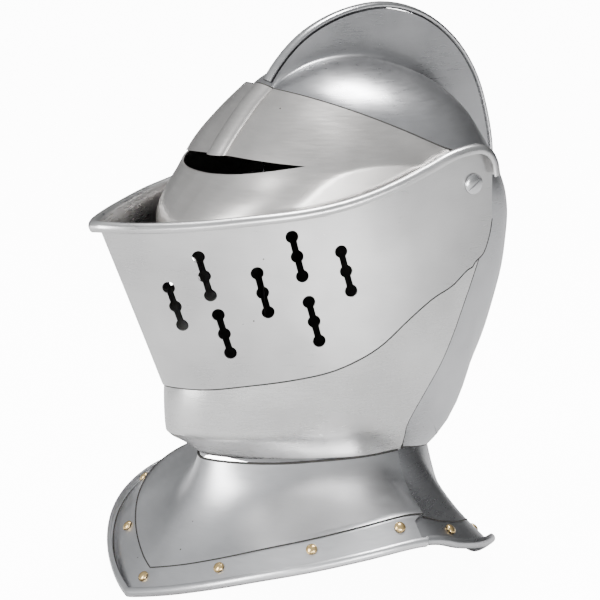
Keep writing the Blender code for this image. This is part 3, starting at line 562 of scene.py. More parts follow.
def build_skull(steel, dark):
    """The dome, its hollow comb, the cheeks and the back of the neck."""
    neck_outs = [-0.0215, -0.0125, 0.004, 0.022, 0.040, SKULL_EDGE_FRONT]
    ends = [("crown", angle, i / FINER) for i, angle in enumerate(finer(CROWN_ANGLES))]
    ends += [("neck", out, len(CROWN_ANGLES) + i / FINER) for i, out in enumerate(finer(neck_outs))]
    last = ends[-1][2]
    crown_downs = finer([0, 0.26, 0.50, 0.70, 0.85, 0.95, 0.995])
    neck_downs = finer([0, 0.18, 0.36, 0.52, 0.65, 0.76, 0.85])
    comb_rows = [
        dict(x=1.00, rise=0.000),
        dict(x=0.80, rise=0.005),
        dict(x=0.60, rise=0.018),
        dict(x=0.42, rise=0.042),
        dict(x=0.26, rise=0.085),
        dict(x=0.14, rise=0.150),
        dict(x=0.06, rise=0.260),
        dict(x=0.02, rise=0.450),
        dict(x=0.00, rise=0.720),
        dict(x=0.00, rise=1.000),
    ]
    neck_ends = shares(0.85, 1.0, len(comb_rows) + 2)[1:]
    columns = []
    for kind, value, place in ends:
        along = place / last
        edge_out = SKULL_DEPTH * read_table(FACE_EDGE, "along", "out", along)
        edge_up = SKULL_DEPTH * read_table(FACE_EDGE, "along", "up", along)
        points = []
        if kind == "crown":
            radius = head_radius(value)
            turn = math.radians(value)
            comb = COMB_HEIGHT * max(0.0, read_table(SKULL_OUTLINE, "angle", "comb", value))
            comb = max(0.0, comb - RIM_STRIP_THICKNESS * ease(0.0, 0.006, comb))
            narrow = 1 - 0.9 * ease(250.0, 263.3, value)
            top = radius * bulge(narrow * COMB_ROOT / SKULL_HALF_WIDTH, HEAD_ROUNDNESS)
            for v in crown_downs:
                out = mix(edge_out, top * math.cos(turn), v)
                up = mix(edge_up, top * math.sin(turn), v)
                points.append(world(head_width(out, up, SKULL_HALF_WIDTH), out, max(up, neck_level(out))))
            for row in comb_rows:
                x = narrow * mix(COMB_HALF_WIDTH, COMB_ROOT, row["x"])
                lift = radius * bulge(x / SKULL_HALF_WIDTH, HEAD_ROUNDNESS) + comb * row["rise"]
                out = lift * math.cos(turn)
                points.append(world(x, out, max(lift * math.sin(turn), neck_level(out))))
            out = (radius + comb) * math.cos(turn)
            points.append(world(0.0, out, max((radius + comb) * math.sin(turn), neck_level(out))))
        else:
            level = neck_level(value)
            for v in neck_downs + neck_ends:
                out = mix(edge_out, value, v)
                up = mix(edge_up, level, v)
                points.append(world(head_width(out, up, SKULL_HALF_WIDTH), out, up))
        columns.append(points)
    return sheet_object("skull_shell", [list(row) for row in zip(*columns)], steel, dark)


def build_comb_rim(steel):
    """A rounded strip along the top of the comb."""
    angles = finer(CROWN_ANGLES[1:-1])
    sides = 20
    bm = bmesh.new()
    rings = []
    for angle in angles:
        turn = math.radians(angle)
        comb = COMB_HEIGHT * read_table(SKULL_OUTLINE, "angle", "comb", angle)
        comb = max(0.0, comb - RIM_STRIP_THICKNESS * ease(0.0, 0.006, comb))
        middle = head_radius(angle) + comb + SEAT_GAP + RIM_STRIP_THICKNESS / 2
        ring = []
        for i in range(sides):
            around = 2 * math.pi * i / sides
            radius = middle + RIM_STRIP_THICKNESS / 2 * math.sin(around) 
            x = RIM_STRIP_HALF_WIDTH * math.cos(around)
            ring.append(bm.verts.new(world(x, radius * math.cos(turn), radius * math.sin(turn))))
        rings.append(ring)
    for ring, following in zip(rings, rings[1:]):
        for i in range(sides):
            k = (i + 1) % sides
            bm.faces.new((ring[i], ring[k], following[k], following[i]))
    bm.faces.new(rings[0][::-1])
    bm.faces.new(rings[-1])
    bmesh.ops.recalc_face_normals(bm, faces=bm.faces)
    return mesh_object("comb_edge_strip", bm, steel)


def visor_radius(angle):
    return VISOR_REACH * read_table(VISOR_OUTLINE, "angle", "radius", angle)


def visor_roundness(angle):
    return read_table(VISOR_OUTLINE, "angle", "roundness", angle)


def visor_width(out, up):
    """Half width of the visor, which nests inside the ventail."""
    angle = side_angle(out, up)
    width = VISOR_HALF_WIDTH * bulge(math.hypot(out, up) / visor_radius(angle), visor_roundness(angle))
    steps = 1 + 0.4 * ease(0.010, 0.030, out)
    return min(width, ventail_width(out, min(up, VENTAIL_TIP_LEVEL)) - steps * STACK_STEP)


def build_visor(steel, dark, gap):
    """The upper face plate, with a ridge from its top edge down to the slit."""
    ridge = [math.sin(math.radians(turn)) for turn in range(0, 91, 9)]
    sides = finer([0.985, 0.95, 0.895, 0.81, 0.71, 0.60, 0.48, 0.36, 0.24, 0.12, 0.0, -0.6, -1.0])
    downs = finer([0.0, 0.20, 0.40, RIDGE_END, RIDGE_FOOT, 0.78, 0.89, 1.0], 2 * FINER)

    def edge_point(along, column):
        first = VISOR_EDGES[0]
        up = VISOR_REACH * read_table(VISOR_EDGES, "along", column, along)
        near = 31 if column == "top" else -11
        angle = math.degrees(math.asin(VISOR_REACH * first[column] / visor_radius(near)))
        out = visor_radius(angle) * math.cos(math.radians(angle))
        return (along * out if along > 0 else along * EAR_RADIUS), up

    columns = []
    for share in ridge:
        x = share * RIDGE_HALF_WIDTH
        tops = side_angle(*edge_point(1.0, "top"))
        lows = side_angle(*edge_point(1.0, "low"))
        points = []
        for v in downs:
            angle = mix(tops, lows, v)
            near = visor_roundness(angle)
            radius = visor_radius(angle) * (1 - (x / VISOR_HALF_WIDTH) ** near) ** (1 / near)
            lift = RIDGE_HEIGHT * math.sqrt(max(0.0, 1 - share**2)) * (1 - ease(RIDGE_END, RIDGE_FOOT, v))
            turn = math.radians(angle)
            points.append(world(x, (radius + lift) * math.cos(turn), (radius + lift) * math.sin(turn)))
        columns.append(points)
    for along in sides:
        top_out, top_up = edge_point(along, "top")
        low_out, low_up = edge_point(along, "low")
        top_angle, low_angle = side_angle(top_out, top_up), side_angle(low_out, low_up)
        top_share = math.hypot(top_out, top_up) / visor_radius(top_angle)
        low_share = math.hypot(low_out, low_up) / visor_radius(low_angle)
        straight = 1 - ease(0.10, 0.35, along)
        points = []
        for v in downs:
            angle = mix(top_angle, low_angle, v)
            radius = mix(top_share, low_share, v) * visor_radius(angle)
            turn = math.radians(angle)
            out = mix(radius * math.cos(turn), mix(top_out, low_out, v), straight)
            up = mix(radius * math.sin(turn), mix(top_up, low_up, v), straight)
            points.append(world(visor_width(out, up), out, up))
        columns.append(points)
    rows = [list(row) for row in zip(*columns)]
    # A dark line of painted shade along the visor's top edge.
    edge_line("visor_edge_line", rows[0], rows[1], "visor_plate", gap)
    return sheet_object("visor_plate_shell", rows[::-1], steel, dark)


def slit_cutter():
    """A long lens, deep enough to pass through the front of the visor."""
    bm = bmesh.new()
    steps = 40
    upper = []
    for i in range(2 * steps + 1):
        across = i / steps - 1
        middle = SLIT_LEVEL + SLIT_RISE * across**2 + SLIT_TILT * across
        half = SLIT_HEIGHT / 2 * (1 - abs(across) ** 2.2)
        upper.append((across * SLIT_HALF_LENGTH, middle, half))
    outline = [(x, m + h) for x, m, h in upper] + [(x, m - h) for x, m, h in upper[-2:0:-1]]
    near = [bm.verts.new(world(x, VISOR_REACH * 0.45, up)) for x, up in outline]
    far = [bm.verts.new(world(x, VISOR_REACH * 1.20, up)) for x, up in outline]
    for i in range(len(outline)):
        k = (i + 1) % len(outline)
        bm.faces.new((near[i], near[k], far[k], far[i]))
    bm.faces.new(near)
    bm.faces.new(far[::-1])
    bmesh.ops.recalc_face_normals(bm, faces=bm.faces)
    return cutter_object("slit_cutter", bm)


def prow_reach(up):
    return VENTAIL_REACH - VENTAIL_RAKE * (VENTAIL_TIP_LEVEL - up) / VENTAIL_DROP


def ventail_width(out, up):
    fall = min(1.0, max(0.0, (VENTAIL_TIP_LEVEL - up) / VENTAIL_DROP))
    power = mix(VENTAIL_ROUNDNESS["top"], VENTAIL_ROUNDNESS["foot"], fall)
    return VENTAIL_HALF_WIDTH * bulge(out / prow_reach(up), 2.0, power)


def build_ventail(steel, gap):
    """The prow-shaped lower face plate, with a rolled top edge."""
    alongs = finer([1.0, 0.98, 0.94, 0.88, 0.80, 0.71, 0.61, 0.51, 0.41, 0.31, 0.22, 0.14, 0.07, 0.0,
              -0.5, -0.85, -1.0])
    downs = finer([0.0, 0.18, 0.42, 0.66, 0.86, 1.0])
    rows = []
    for v in downs:
        row = []
        for along in alongs:
            top = VENTAIL_DROP * read_table(VENTAIL_EDGES, "along", "top_up", along)
            low = VENTAIL_DROP * read_table(VENTAIL_EDGES, "along", "low_up", along)
            up = mix(top, low, v)
            out = along * prow_reach(up) if along > 0 else along * EAR_RADIUS
            row.append(world(0.0 if along == 1.0 else ventail_width(out, up), out, up))
        rows.append(row)
    outward, upward = edge_frames(rows[0], rows[1])
    rolled = curl(rows[0], outward, upward, ROLL_RADIUS, FINE_TURNS)
    # A dark line of painted shade under the ventail's lower edge.
    edge_line("ventail_edge_line", rows[-1], rows[-2], "ventail_plate", gap)
    return sheet_object("ventail_shell", rows[::-1] + rolled, steel)


def breath_outline():
    """Three round holes in a row, joined by a slot, as one outline."""
    join = math.asin(BREATH_SLOT / 2 / BREATH_RADIUS)
    steps = 12
    right = []
    for number, middle in enumerate([-BREATH_PITCH, 0.0, BREATH_PITCH]):
        start = math.pi if number == 0 else math.pi - join
        end = 0.0 if number == 2 else join
        for i in range(steps + 1):
            a = mix(start, end, i / steps)
            right.append((BREATH_RADIUS * math.sin(a), middle + BREATH_RADIUS * math.cos(a)))
    left = [(-x, y) for x, y in right[-2:0:-1]]
    return right + left


def breath_cutter():
    bm = bmesh.new()
    depth = 0.012
    for breath in BREATHS:
        up = VENTAIL_TIP_LEVEL + VENTAIL_DROP * breath["up"]
        out = breath["out"] * prow_reach(up)
        step = 0.002
        middle = world(ventail_width(out, up), out, up)
        ahead = world(ventail_width(out + step, up), out + step, up)
        behind = world(ventail_width(out - step, up), out - step, up)
        above = world(ventail_width(out, up + step), out, up + step)
        back = (behind - ahead).normalized()
        face = back.cross(above - middle).normalized()
        face = face if face.x > 0 else -face
        rise = (Vector((0, 0, 1)) - back * BREATH_LEAN).normalized()
        rise = (rise - face * rise.dot(face)).normalized()
        across = rise.cross(face)
        for side in (1, -1):
            loops = []
            for reach in (-depth, depth):
                loop = []
                for a, b in breath_outline():
                    point = middle + across * a + rise * b + face * reach
                    loop.append(bm.verts.new((side * point.x, point.y, point.z)))
                loops.append(loop)
            count = len(loops[0])
            for i in range(count):
                k = (i + 1) % count
                bm.faces.new((loops[0][i], loops[0][k], loops[1][k], loops[1][i]))
            bm.faces.new(loops[0][::-1])
            bm.faces.new(loops[1])
    bmesh.ops.recalc_face_normals(bm, faces=bm.faces)
    return cutter_object("breath_cutter", bm)


def bevor_reach(up):
    return BEVOR_REACH * read_table(BEVOR_SECTIONS, "level", "reach", up / NECK_LEVEL)


def bevor_width(out, up):
    """The sides follow the head form, and the front runs out to a blunt chin."""
    side = head_width(out, up, BEVOR_HALF_WIDTH, "bevor")
    full = BEVOR_HALF_WIDTH * read_table(BEVOR_SECTIONS, "level", "width", up / NECK_LEVEL)
    chin = full * bulge(out / bevor_reach(up), 2.2, 0.60)
    foot = VENTAIL_TIP_LEVEL - VENTAIL_DROP
    steps = 1.3 + ease(-0.090, -0.060, up)
    room = ventail_width(out, max(up, foot)) - steps * STACK_STEP + CHIN_FLARE * ease(0.0, 0.012, foot - up)
    return max(0.0, min(mix(side, min(side, chin), ease(0.050, 0.105, out)), room))


def build_bevor(steel, dark, gap):
    """The chin plate, from hidden ears at the pivots down to the neck."""
    alongs = finer([1.0, 0.975, 0.91, 0.80, 0.66, 0.52, 0.38, 0.28, 0.212,
                    0.18, 0.13, 0.075, 0.024, -0.30, -1.0])
    downs = finer([0.0, 0.30, 0.60, 0.78, 0.86, 0.94, 1.0])
    rows = []
    for v in downs:
        row = []
        for along in alongs:
            top = NECK_LEVEL * read_table(BEVOR_EDGES, "along", "top", along)
            low = NECK_LEVEL * read_table(BEVOR_EDGES, "along", "low", along)
            up = mix(top, low, v)
            out = along * bevor_reach(up) if along > 0 else along * EAR_RADIUS
            row.append(world(0.0 if along == 1.0 else bevor_width(out, up), out, up))
        rows.append(row)
    start = next(i for i, along in enumerate(alongs) if along <= 0.215)
    # A dark line of painted shade along the bevor's rear edge.
    edge_line("bevor_edge_line", rows[-1][start:], rows[-2][start:], "bevor_group", gap, whole=False)
    return sheet_object("bevor_shell", rows[::-1], steel, dark)


def neck_ring(around, width_at):
    """Distance from the middle of the gorget to the neck line, in one direction."""
    turn = math.radians(around)
    low, high = 0.005, 0.160
    for _ in range(40):
        reach = (low + high) / 2
        out = GORGET_CENTRE + reach * math.cos(turn)
        width = width_at(out, neck_level(out))
        inside = width > 0 and reach * math.sin(turn) < width
        low, high = (reach, high) if inside else (low, reach)
    return low


def gorget_point(around, down, width_at, inset):
    """A point of a gorget plate: down is 0 at the neck, 1 at the crease and 2 at the rim."""
    turn = math.radians(around)
    depth = GORGET_FRONT if around < 90 else GORGET_BACK
    plain = 1.0 / math.sqrt((math.sin(turn) / GORGET_HALF_WIDTH) ** 2 + (math.cos(turn) / depth) ** 2)
    rim = plain * read_table(GORGET_RIM, "angle", "radius", around) - inset
    height = GORGET_ARCH * read_table(GORGET_RIM, "angle", "height", around)
    rim_level = height - PIVOT_HEIGHT + FLOOR_ROLL
    neck = neck_ring(around, width_at) - inset / 2
    top_level = neck_level(GORGET_CENTRE + neck * math.cos(turn)) - NECK_SEAT
    crease = rim - BAND_RUN
    crease_level = rim_level + BAND_FALL - inset
    if down <= 1:
        bow = mix(GORGET_BOW, NAPE_BOW, ease(96, 138, around))
        reach = mix(neck, crease, mix(down, down**2, bow))
        up = mix(top_level, crease_level, down)
    else:
        reach = mix(crease, rim, down - 1)
        up = mix(crease_level, rim_level, down - 1)
    return world(reach * math.sin(turn), GORGET_CENTRE + reach * math.cos(turn), up)


def seam_angle(down):
    """The seam runs forward as it falls from the neck to the rim."""
    return mix(SEAM_AT_NECK, SEAM_AT_RIM, min(1.0, down / 1.2))


def build_gorget(name, rear, width_at, inset, steel, gap):
    """One collar plate, from its middle line round to the seam."""
    downs = finer([0.0, 0.25, 0.50, 0.75, 1.0, 1.5, 2.0])
    middle = 180 if rear else 0
    rows = []
    for down in downs:
        seam = seam_angle(down)
        if rear:
            seam += SEAM_GAP - (SEAM_LAP + SEAM_GAP) * (1 - ease(0.80, 0.98, down))
        rows.append([gorget_point(mix(middle, seam, share), down, width_at, inset)
                     for share in shares(0.0, 1.0, COLLAR_STEPS)])
    for row in rows:
        row[0].x = 0.0
    outward, upward = edge_frames(rows[-1], rows[-2])
    outward = [o if o.z > 0 else -o for o in outward]
    rolled = curl(rows[-1], outward, upward, GORGET_ROLL, FINE_TURNS)
    grid = rows + rolled
    crease = rows[downs.index(1.0)]
    body = "skull_group" if rear else "bevor_group"
    # Dark lines of painted shade along the crease, along the rolled rim and along the neck edge.
    edge_line(name + "_crease", crease, rows[downs.index(1.0) - 1], body, gap, CREASE_LINE, 0.0)
    edge_line(name + "_roll_line", rows[-1], rows[-2], body, gap, CREASE_LINE, -ROLL_LINE_RAISE)
    edge_line(name + "_neck_line", rows[0], rows[1], body, gap, GAP_LINE, 0.0)
    return sheet_object(name, grid if rear else grid[::-1], steel)


def rivet_places():
    """Every rivet, as the point on its plate and the plate's outward direction."""
    places = []
    rows = ((FRONT_RIVETS, bevor_width, 0.0), (REAR_RIVETS, skull_width, REAR_INSET))
    for group, width_at, inset in rows:
        for around in group:
            step = 1.0
            middle = gorget_point(around, RIVET_LEVEL, width_at, inset)
            aside = gorget_point(min(180, around + step), RIVET_LEVEL, width_at, inset)
            other = gorget_point(max(0, around - step), RIVET_LEVEL, width_at, inset)
            below = gorget_point(around, RIVET_LEVEL + 0.1, width_at, inset)
            along = Vector((1, 0, 0)) if around in (0, 180) else (aside - other)
            face = along.cross(below - middle).normalized()
            face = face if face.z > 0 else -face
            name = "front" if group is FRONT_RIVETS else "rear"
            places.append((name, middle, face))
            if around not in (0, 180):
                other_side = Vector((-1, 1, 1))
                places.append((name, middle * other_side, face * other_side))
    return places


def mesh_object(name, bm, material):
    mesh = bpy.data.meshes.new(name)
    bm.to_mesh(mesh)
    bm.free()
    mesh.shade_smooth()
    mesh.set_sharp_from_angle(angle=math.radians(40))
    mesh.materials.append(material)
    obj = bpy.data.objects.new(name, mesh)
    bpy.context.scene.collection.objects.link(obj)
    return obj


def turned_object(name, profile, middle, axis, material):
    """A turned piece: the profile runs down its outer side, radius against height."""
    bm = bmesh.new()
    verts = [bm.verts.new((radius, 0.0, height)) for radius, height in profile]
    for a, b in zip(verts, verts[1:]):
        bm.edges.new((a, b))
    obj = mesh_object(name, bm, material)
    screw = obj.modifiers.new("Turn", "SCREW")
    screw.steps = ROUND_STEPS
    screw.render_steps = ROUND_STEPS
    screw.use_merge_vertices = True
    screw.merge_threshold = 0.00001
    obj.location = middle
    obj.rotation_mode = "QUATERNION"
    obj.rotation_quaternion = axis.to_track_quat("Z", "X")
    return obj


def dome_profile(radius, height, rings):
    """Radius and height pairs of a low dome, from its top to its edge."""
    return [(radius * math.sin(math.pi / 2 * i / rings), height * math.cos(math.pi / 2 * i / rings))
            for i in range(rings + 1)]


def build_rivets(brass):
    """A round brass head, shank and tail for every rivet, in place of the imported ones."""
    profile = [(r, RIVET_SEAT + h) for r, h in dome_profile(RIVET_RADIUS, RIVET_DOME, 10)]
    inner = -PLATE - RIVET_SEAT
    profile += [(RIVET_SHANK, RIVET_SEAT), (RIVET_SHANK, inner), (RIVET_TAIL, inner),
                (RIVET_TAIL, inner - 0.0008), (0.0, inner - 0.0008)]
    counts = {}
    for group, middle, face in rivet_places():
        counts[group] = counts.get(group, 0) + 1
        node = f"{group}_rivet_{counts[group]}"
        rivet = settle(turned_object(f"{node}_brass", profile, middle, face, brass))
        finish_piece(rivet, "bevor_group" if group == "front" else "skull_group", [node])


def build_screws(steel):
    """Slotted pivot screws with a low polished dome and a thin edge under it."""
    under = VENTAIL_HALF_WIDTH + SEAT_GAP
    end = SKULL_HALF_WIDTH - PLATE - NUT_SEAT - NUT_THICKNESS - 0.002
    for side, label in ((1, "left"), (-1, "right")):
        profile = [(r, under + SCREW_EDGE + h)
                   for r, h in dome_profile(SCREW_RADIUS, SCREW_DOME - SCREW_EDGE, 12)]
        profile += [(SCREW_RADIUS, under + SCREW_EDGE / 3), (SCREW_RADIUS - SCREW_EDGE / 3, under),
                    (SCREW_SHANK, under), (SCREW_SHANK, end), (0.0, end)]
        screw = turned_object(f"pivot_screw_{label}_turned", profile, world(0, 0, 0),
                              Vector((side, 0, 0)), steel)
        bm = bmesh.new()
        head = under + SCREW_DOME
        turn = Matrix.Rotation(math.radians(35 * side), 4, "X")
        size = Matrix.Diagonal((2 * SLOT_DEPTH, 4 * SCREW_RADIUS, SLOT_WIDTH, 1))
        place = Matrix.Translation(world(side * head, 0, 0))
        bmesh.ops.create_cube(bm, size=1.0, matrix=place @ turn @ size)
        slot = cutter_object("slot_cutter", bm)
        settle(screw, [slot])
        bpy.data.objects.remove(slot, do_unlink=True)
        finish_piece(screw, "skull_group", [f"pivot_screw_{label}"])


def finish_piece(obj, body, nodes):
    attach(obj, body)
    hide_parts(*nodes)


# Node groups and materials

LINE_DETAIL = 4.0             # brushing lines
LINE_ROUGHNESS = 0.7
PATCH_SCALE = 11.0            # broad patches
PATCH_DETAIL = 3.0
PATCH_FROM = 0.32
PATCH_TO = 0.68
PIT_SCALE = 170.0             # pits
PIT_SIZE = 0.10
PIT_PATCHES = 34.0
PIT_COLOUR = (0.10, 0.09, 0.08, 1.0)
STREAK_DEPTH = 0.10           # how much the lines change the colour
STREAK_BASE = 0.92
LINE_ROUGHENING = 0.16        # how much the lines and patches change the roughness
PATCH_ROUGHENING = 0.07
RELIEF_STRENGTH = 0.10
RELIEF_DEPTH = 0.0004
# Each metal: name, darker and lighter colour of its patches, roughness and what differs from the rest
FINISHES = dict(
    # The skull's steel is darker than the face plates' steel: painted shade for the back of the helmet.
    skull=("skull_steel_painted_shade", (0.40, 0.40, 0.41, 1), (0.56, 0.56, 0.57, 1), 0.27, {}),
    comb=("comb_edge_steel", (0.48, 0.48, 0.49, 1), (0.62, 0.62, 0.62, 1), 0.22, {}),
    visor=("visor_steel", (0.56, 0.54, 0.52, 1), (0.70, 0.68, 0.66, 1), 0.30, {}),
    ventail=("ventail_steel", (0.52, 0.515, 0.515, 1), (0.68, 0.675, 0.67, 1), 0.27, {}),
    bevor=("bevor_steel", (0.54, 0.535, 0.53, 1), (0.70, 0.695, 0.69, 1), 0.25, {}),
    collar=("collar_steel", (0.58, 0.58, 0.59, 1), (0.74, 0.74, 0.75, 1), 0.30, {}),
    # The back collar is a darker copy of the front collar's steel: painted shade at the back of the helmet.
    back_collar=("back_collar_painted_shade_steel", (0.38, 0.38, 0.39, 1), (0.50, 0.50, 0.51, 1), 0.27, {}),
    # The inner sides of the plates are near black: painted shade inside the helmet.
    inside=("inside_painted_shade", (0.05, 0.05, 0.05, 1), (0.09, 0.085, 0.08, 1), 0.62, {}),
    screw=("screw_steel", (0.58, 0.58, 0.59, 1), (0.72, 0.72, 0.72, 1), 0.20, dict(pits=0.3)),
    brass=("rivet_brass", (0.70, 0.48, 0.20, 1), (0.88, 0.66, 0.34, 1), 0.22,
           dict(lines=220.0, stretch=2.0, pits=0.3)),
)


def feed(tree, socket, value):
    """Give a socket a plain value, or link another node's output to it."""
    if isinstance(value, bpy.types.NodeSocket):
        tree.links.new(value, socket)
    else:
        socket.default_value = value


def new_group(name, numbers, output):
    """A node group that takes a vector and some numbers and gives one number."""
    group = bpy.data.node_groups.new(name, "ShaderNodeTree")
    group.interface.new_socket("Vector", in_out="INPUT", socket_type="NodeSocketVector")
    for label in numbers:
        group.interface.new_socket(label, in_out="INPUT", socket_type="NodeSocketFloat")
    group.interface.new_socket(output, in_out="OUTPUT", socket_type="NodeSocketFloat")
    given = group.nodes.new("NodeGroupInput").outputs
    result = group.nodes.new("NodeGroupOutput").inputs[output]
    return group, given, result


def maths(tree, operation, *values):
    node = tree.nodes.new("ShaderNodeMath")
    node.operation = operation
    for socket, value in zip(node.inputs, values):
        feed(tree, socket, value)
    return node.outputs[0]


def noise(tree, vector, scale, detail, roughness=0.55):
    node = tree.nodes.new("ShaderNodeTexNoise")
    given = dict(Vector=vector, Scale=scale, Detail=detail, Roughness=roughness)
    for label, value in given.items():
        feed(tree, node.inputs[label], value)
    return node.outputs["Fac"]


def brushing_group():
    """Fine lines left by polishing: long along the plate, narrow up and down."""
    group, given, result = new_group("brushing", ("Scale", "Stretch"), "Lines")
    factors = group.nodes.new("ShaderNodeCombineXYZ")
    for label, value in (("X", 1.0), ("Y", 1.0), ("Z", given["Stretch"])):
        feed(group, factors.inputs[label], value)
    stretched = group.nodes.new("ShaderNodeVectorMath")
    stretched.operation = "MULTIPLY"
    feed(group, stretched.inputs[0], given["Vector"])
    feed(group, stretched.inputs[1], factors.outputs["Vector"])
    lines = noise(group, stretched.outputs["Vector"], given["Scale"], LINE_DETAIL, LINE_ROUGHNESS)
    feed(group, result, lines)
    return group


def cloudiness_group():
    """Broad uneven patches, as a hand-polished plate has."""
    group, given, result = new_group("cloudiness", ("Scale",), "Value")
    spread = group.nodes.new("ShaderNodeMapRange")
    spread.inputs["From Min"].default_value = PATCH_FROM
    spread.inputs["From Max"].default_value = PATCH_TO
    feed(group, spread.inputs["Value"], noise(group, given["Vector"], given["Scale"], PATCH_DETAIL))
    feed(group, result, spread.outputs["Result"])
    return group


def pits_group():
    """Scattered small dark pits and specks."""
    group, given, result = new_group("pits", ("Scale", "Amount"), "Mask")
    cells = group.nodes.new("ShaderNodeTexVoronoi")
    feed(group, cells.inputs["Vector"], given["Vector"])
    feed(group, cells.inputs["Scale"], given["Scale"])
    dots = maths(group, "LESS_THAN", cells.outputs["Distance"], PIT_SIZE)
    patches = noise(group, given["Vector"], PIT_PATCHES, 2.0)
    threshold = maths(group, "SUBTRACT", 1.0, given["Amount"])
    some = maths(group, "GREATER_THAN", patches, threshold)
    feed(group, result, maths(group, "MULTIPLY", dots, some))
    return group


def place_group(tree, group, vector, **values):
    node = tree.nodes.new("ShaderNodeGroup")
    node.node_tree = group
    feed(tree, node.inputs["Vector"], vector)
    for label, value in values.items():
        feed(tree, node.inputs[label.capitalize()], value)
    return node.outputs[0]


def mix_colour(tree, share, low, high):
    node = tree.nodes.new("ShaderNodeMix")
    node.data_type = "RGBA"
    feed(tree, node.inputs["Factor"], share)
    feed(tree, node.inputs[6], low)
    feed(tree, node.inputs[7], high)
    return node.outputs[2]


def new_material(name):
    material = bpy.data.materials.new(name)
    material.use_nodes = True
    tree = material.node_tree
    return material, tree, tree.nodes["Principled BSDF"].inputs


def metal_material(name, groups, low, high, roughness, lines=70.0, stretch=11.0, pits=0.34):
    """Polished metal: two close colours in patches, brushing lines, and a few pits."""
    material, tree, shader = new_material(name)
    shader["Metallic"].default_value = 1.0
    place = tree.nodes.new("ShaderNodeTexCoord").outputs["Object"]
    brushed = place_group(tree, groups["brushing"], place, scale=lines, stretch=stretch)
    patchy = place_group(tree, groups["cloudiness"], place, scale=PATCH_SCALE)
    specks = place_group(tree, groups["pits"], place, scale=PIT_SCALE, amount=pits)
    streaked = tree.nodes.new("ShaderNodeVectorMath")
    streaked.operation = "SCALE"
    feed(tree, streaked.inputs[0], mix_colour(tree, patchy, low, high))
    feed(tree, streaked.inputs["Scale"], maths(tree, "MULTIPLY_ADD", brushed, STREAK_DEPTH, STREAK_BASE))
    pitted = mix_colour(tree, specks, streaked.outputs["Vector"], PIT_COLOUR)
    feed(tree, shader["Base Color"], pitted)
    rough = maths(tree, "MULTIPLY_ADD", brushed, LINE_ROUGHENING, roughness - LINE_ROUGHENING / 2)
    feed(tree, shader["Roughness"], maths(tree, "MULTIPLY_ADD", patchy, PATCH_ROUGHENING, rough))
    relief = tree.nodes.new("ShaderNodeBump")
    relief.inputs["Strength"].default_value = RELIEF_STRENGTH
    relief.inputs["Distance"].default_value = RELIEF_DEPTH
    feed(tree, relief.inputs["Height"], maths(tree, "SUBTRACT", brushed, specks))
    feed(tree, shader["Normal"], relief.outputs["Normal"])
    return material


def gap_material():
    """Painted shade: the dark line where one plate runs under another, along creases and under rolled rims.
    """
    material, _, shader = new_material("gap_dark")
    shader["Base Color"].default_value = (0.035, 0.033, 0.031, 1.0)
    shader["Metallic"].default_value = 0.4
    shader["Roughness"].default_value = 0.7
    return material


def make_materials():
    groups = dict(brushing=brushing_group(), cloudiness=cloudiness_group(), pits=pits_group())
    finishes = {label: metal_material(name, groups, low, high, roughness, **rest)
                for label, (name, low, high, roughness, rest) in FINISHES.items()}
    finishes["gap"] = gap_material()
    return finishes


# Studio

CLIP_END = 20.0
FLOOR_HALF_SIZE = 8.0
FLOOR_COLOUR = (0.72, 0.72, 0.72, 1.0)
FLOOR_ROUGHNESS = 0.9
FLOOR_GLOW = 12.0             # white for the camera only
WHITE = (1.0, 1.0, 1.0, 1.0)
SKY_COLOUR = (0.96, 0.98, 1.0, 1.0)
SKY_BRIGHT_SIDE = Vector((0.25, -0.78, 0.57))
SKY_RAMP = {"From Min": -0.9, "From Max": 0.95, "To Min": 0.10, "To Max": 0.80}
# Each light: its place, its size and its power
LIGHTS = dict(
    face_softbox=((0.3, -2.5, 0.9), (0.8, 1.8), 70.0),
    top_softbox=((-0.1, 0.4, 2.5), (0.9, 0.7), 84.0),
    side_softbox=((2.5, -0.35, 0.2), (0.9, 0.9), 36.0),
    low_strip=((2.0, -0.9, 0.10), (1.8, 0.18), 16.0),
)


def place_object(name, data, place, towards):
    """A camera or light at a place, with its back turned to a direction."""
    obj = bpy.data.objects.new(name, data)
    obj.location = place
    obj.rotation_mode = "QUATERNION"
    obj.rotation_quaternion = towards.to_track_quat("Z", "Y")
    bpy.context.scene.collection.objects.link(obj)
    return obj


def build_studio():
    aim = world(0.0, CAMERA_TARGET_OUT, CAMERA_TARGET_UP)
    lens = bpy.data.cameras.new("camera")
    lens.lens = LENS
    lens.sensor_width = SENSOR
    lens.clip_end = CLIP_END
    camera = place_object("camera", lens, aim + CAMERA_BACK * CAMERA_DISTANCE, CAMERA_BACK)
    bpy.context.scene.camera = camera

    bm = bmesh.new()
    bmesh.ops.create_grid(bm, x_segments=1, y_segments=1, size=FLOOR_HALF_SIZE)
    mesh_object("floor", bm, floor_material())

    for name, (place, size, power) in LIGHTS.items():
        light = bpy.data.lights.new(name, "AREA")
        light.shape = "RECTANGLE"
        light.size, light.size_y = size
        light.energy = power
        place_object(name, light, place, Vector(place) - aim)
    build_surround()


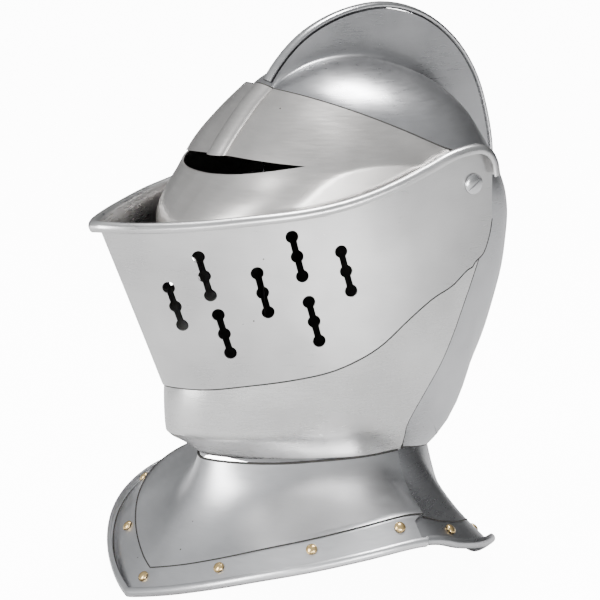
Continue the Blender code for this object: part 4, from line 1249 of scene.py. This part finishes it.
def build_surround():
    """Even light from all round, brighter from the front, the left and above."""
    surround = bpy.data.worlds.new("studio")
    bpy.context.scene.world = surround
    surround.use_nodes = True
    tree = surround.node_tree
    background = tree.nodes["Background"].inputs
    towards = tree.nodes.new("ShaderNodeVectorMath")
    towards.operation = "DOT_PRODUCT"
    feed(tree, towards.inputs[0], tree.nodes.new("ShaderNodeTexCoord").outputs["Generated"])
    feed(tree, towards.inputs[1], SKY_BRIGHT_SIDE.normalized())
    spread = tree.nodes.new("ShaderNodeMapRange")
    spread.interpolation_type = "SMOOTHSTEP"
    for label, value in SKY_RAMP.items():
        feed(tree, spread.inputs[label], value)
    feed(tree, spread.inputs["Value"], towards.outputs["Value"])
    feed(tree, background["Color"], SKY_COLOUR)
    feed(tree, background["Strength"], spread.outputs["Result"])


def floor_material():
    """Pale floor that fades to a white background for the camera."""
    material, tree, shader = new_material("pale_floor")
    shader["Base Color"].default_value = FLOOR_COLOUR
    shader["Roughness"].default_value = FLOOR_ROUGHNESS
    shader["Emission Color"].default_value = WHITE
    seen = tree.nodes.new("ShaderNodeLightPath").outputs["Is Camera Ray"]
    feed(tree, shader["Emission Strength"], maths(tree, "MULTIPLY", seen, FLOOR_GLOW))
    return material


def skull_width(out, up):
    return head_width(out, up, SKULL_HALF_WIDTH)


def main():
    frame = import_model()
    metal = make_materials()
    # The near-black inside material paints the shade inside the plates; the line material paints the shade
    # in gaps, creases and under rims.
    dark, gap = metal["inside"], metal["gap"]
    pivot = pivot_hole_cutter()
    slit = slit_cutter()
    breaths = breath_cutter()
    plates = [
        (build_skull(metal["skull"], dark), "skull_group", "skull", [pivot]),
        (build_comb_rim(metal["comb"]), "skull_group", "comb_rim", []),
        (build_visor(metal["visor"], dark, gap), "visor_plate", "visor", [slit, pivot]),
        (build_ventail(metal["ventail"], gap), "ventail_plate", "ventail", [breaths, pivot]),
        (build_bevor(metal["bevor"], dark, gap), "bevor_group", "bevor", [pivot]),
        (build_gorget("front_collar_shell", False, bevor_width, 0.0, metal["collar"], gap),
         "bevor_group", "front_gorget", []),
        (build_gorget("rear_collar_shell", True, skull_width, REAR_INSET, metal["back_collar"], gap),
         "skull_group", "rear_gorget", []),
    ]
    for obj, body, node, cutters in plates:
        settle(obj, cutters)
        finish_piece(obj, body, [node])
    for cutter in (pivot, slit, breaths):
        bpy.data.objects.remove(cutter, do_unlink=True)
    build_rivets(metal["brass"])
    build_screws(metal["screw"])
    for label in ("left", "right"):
        nut = frame["nodes"][f"pivot_nut_{label}"]
        nut.data.materials.clear()
        nut.data.materials.append(metal["screw"])
    build_studio()


main()
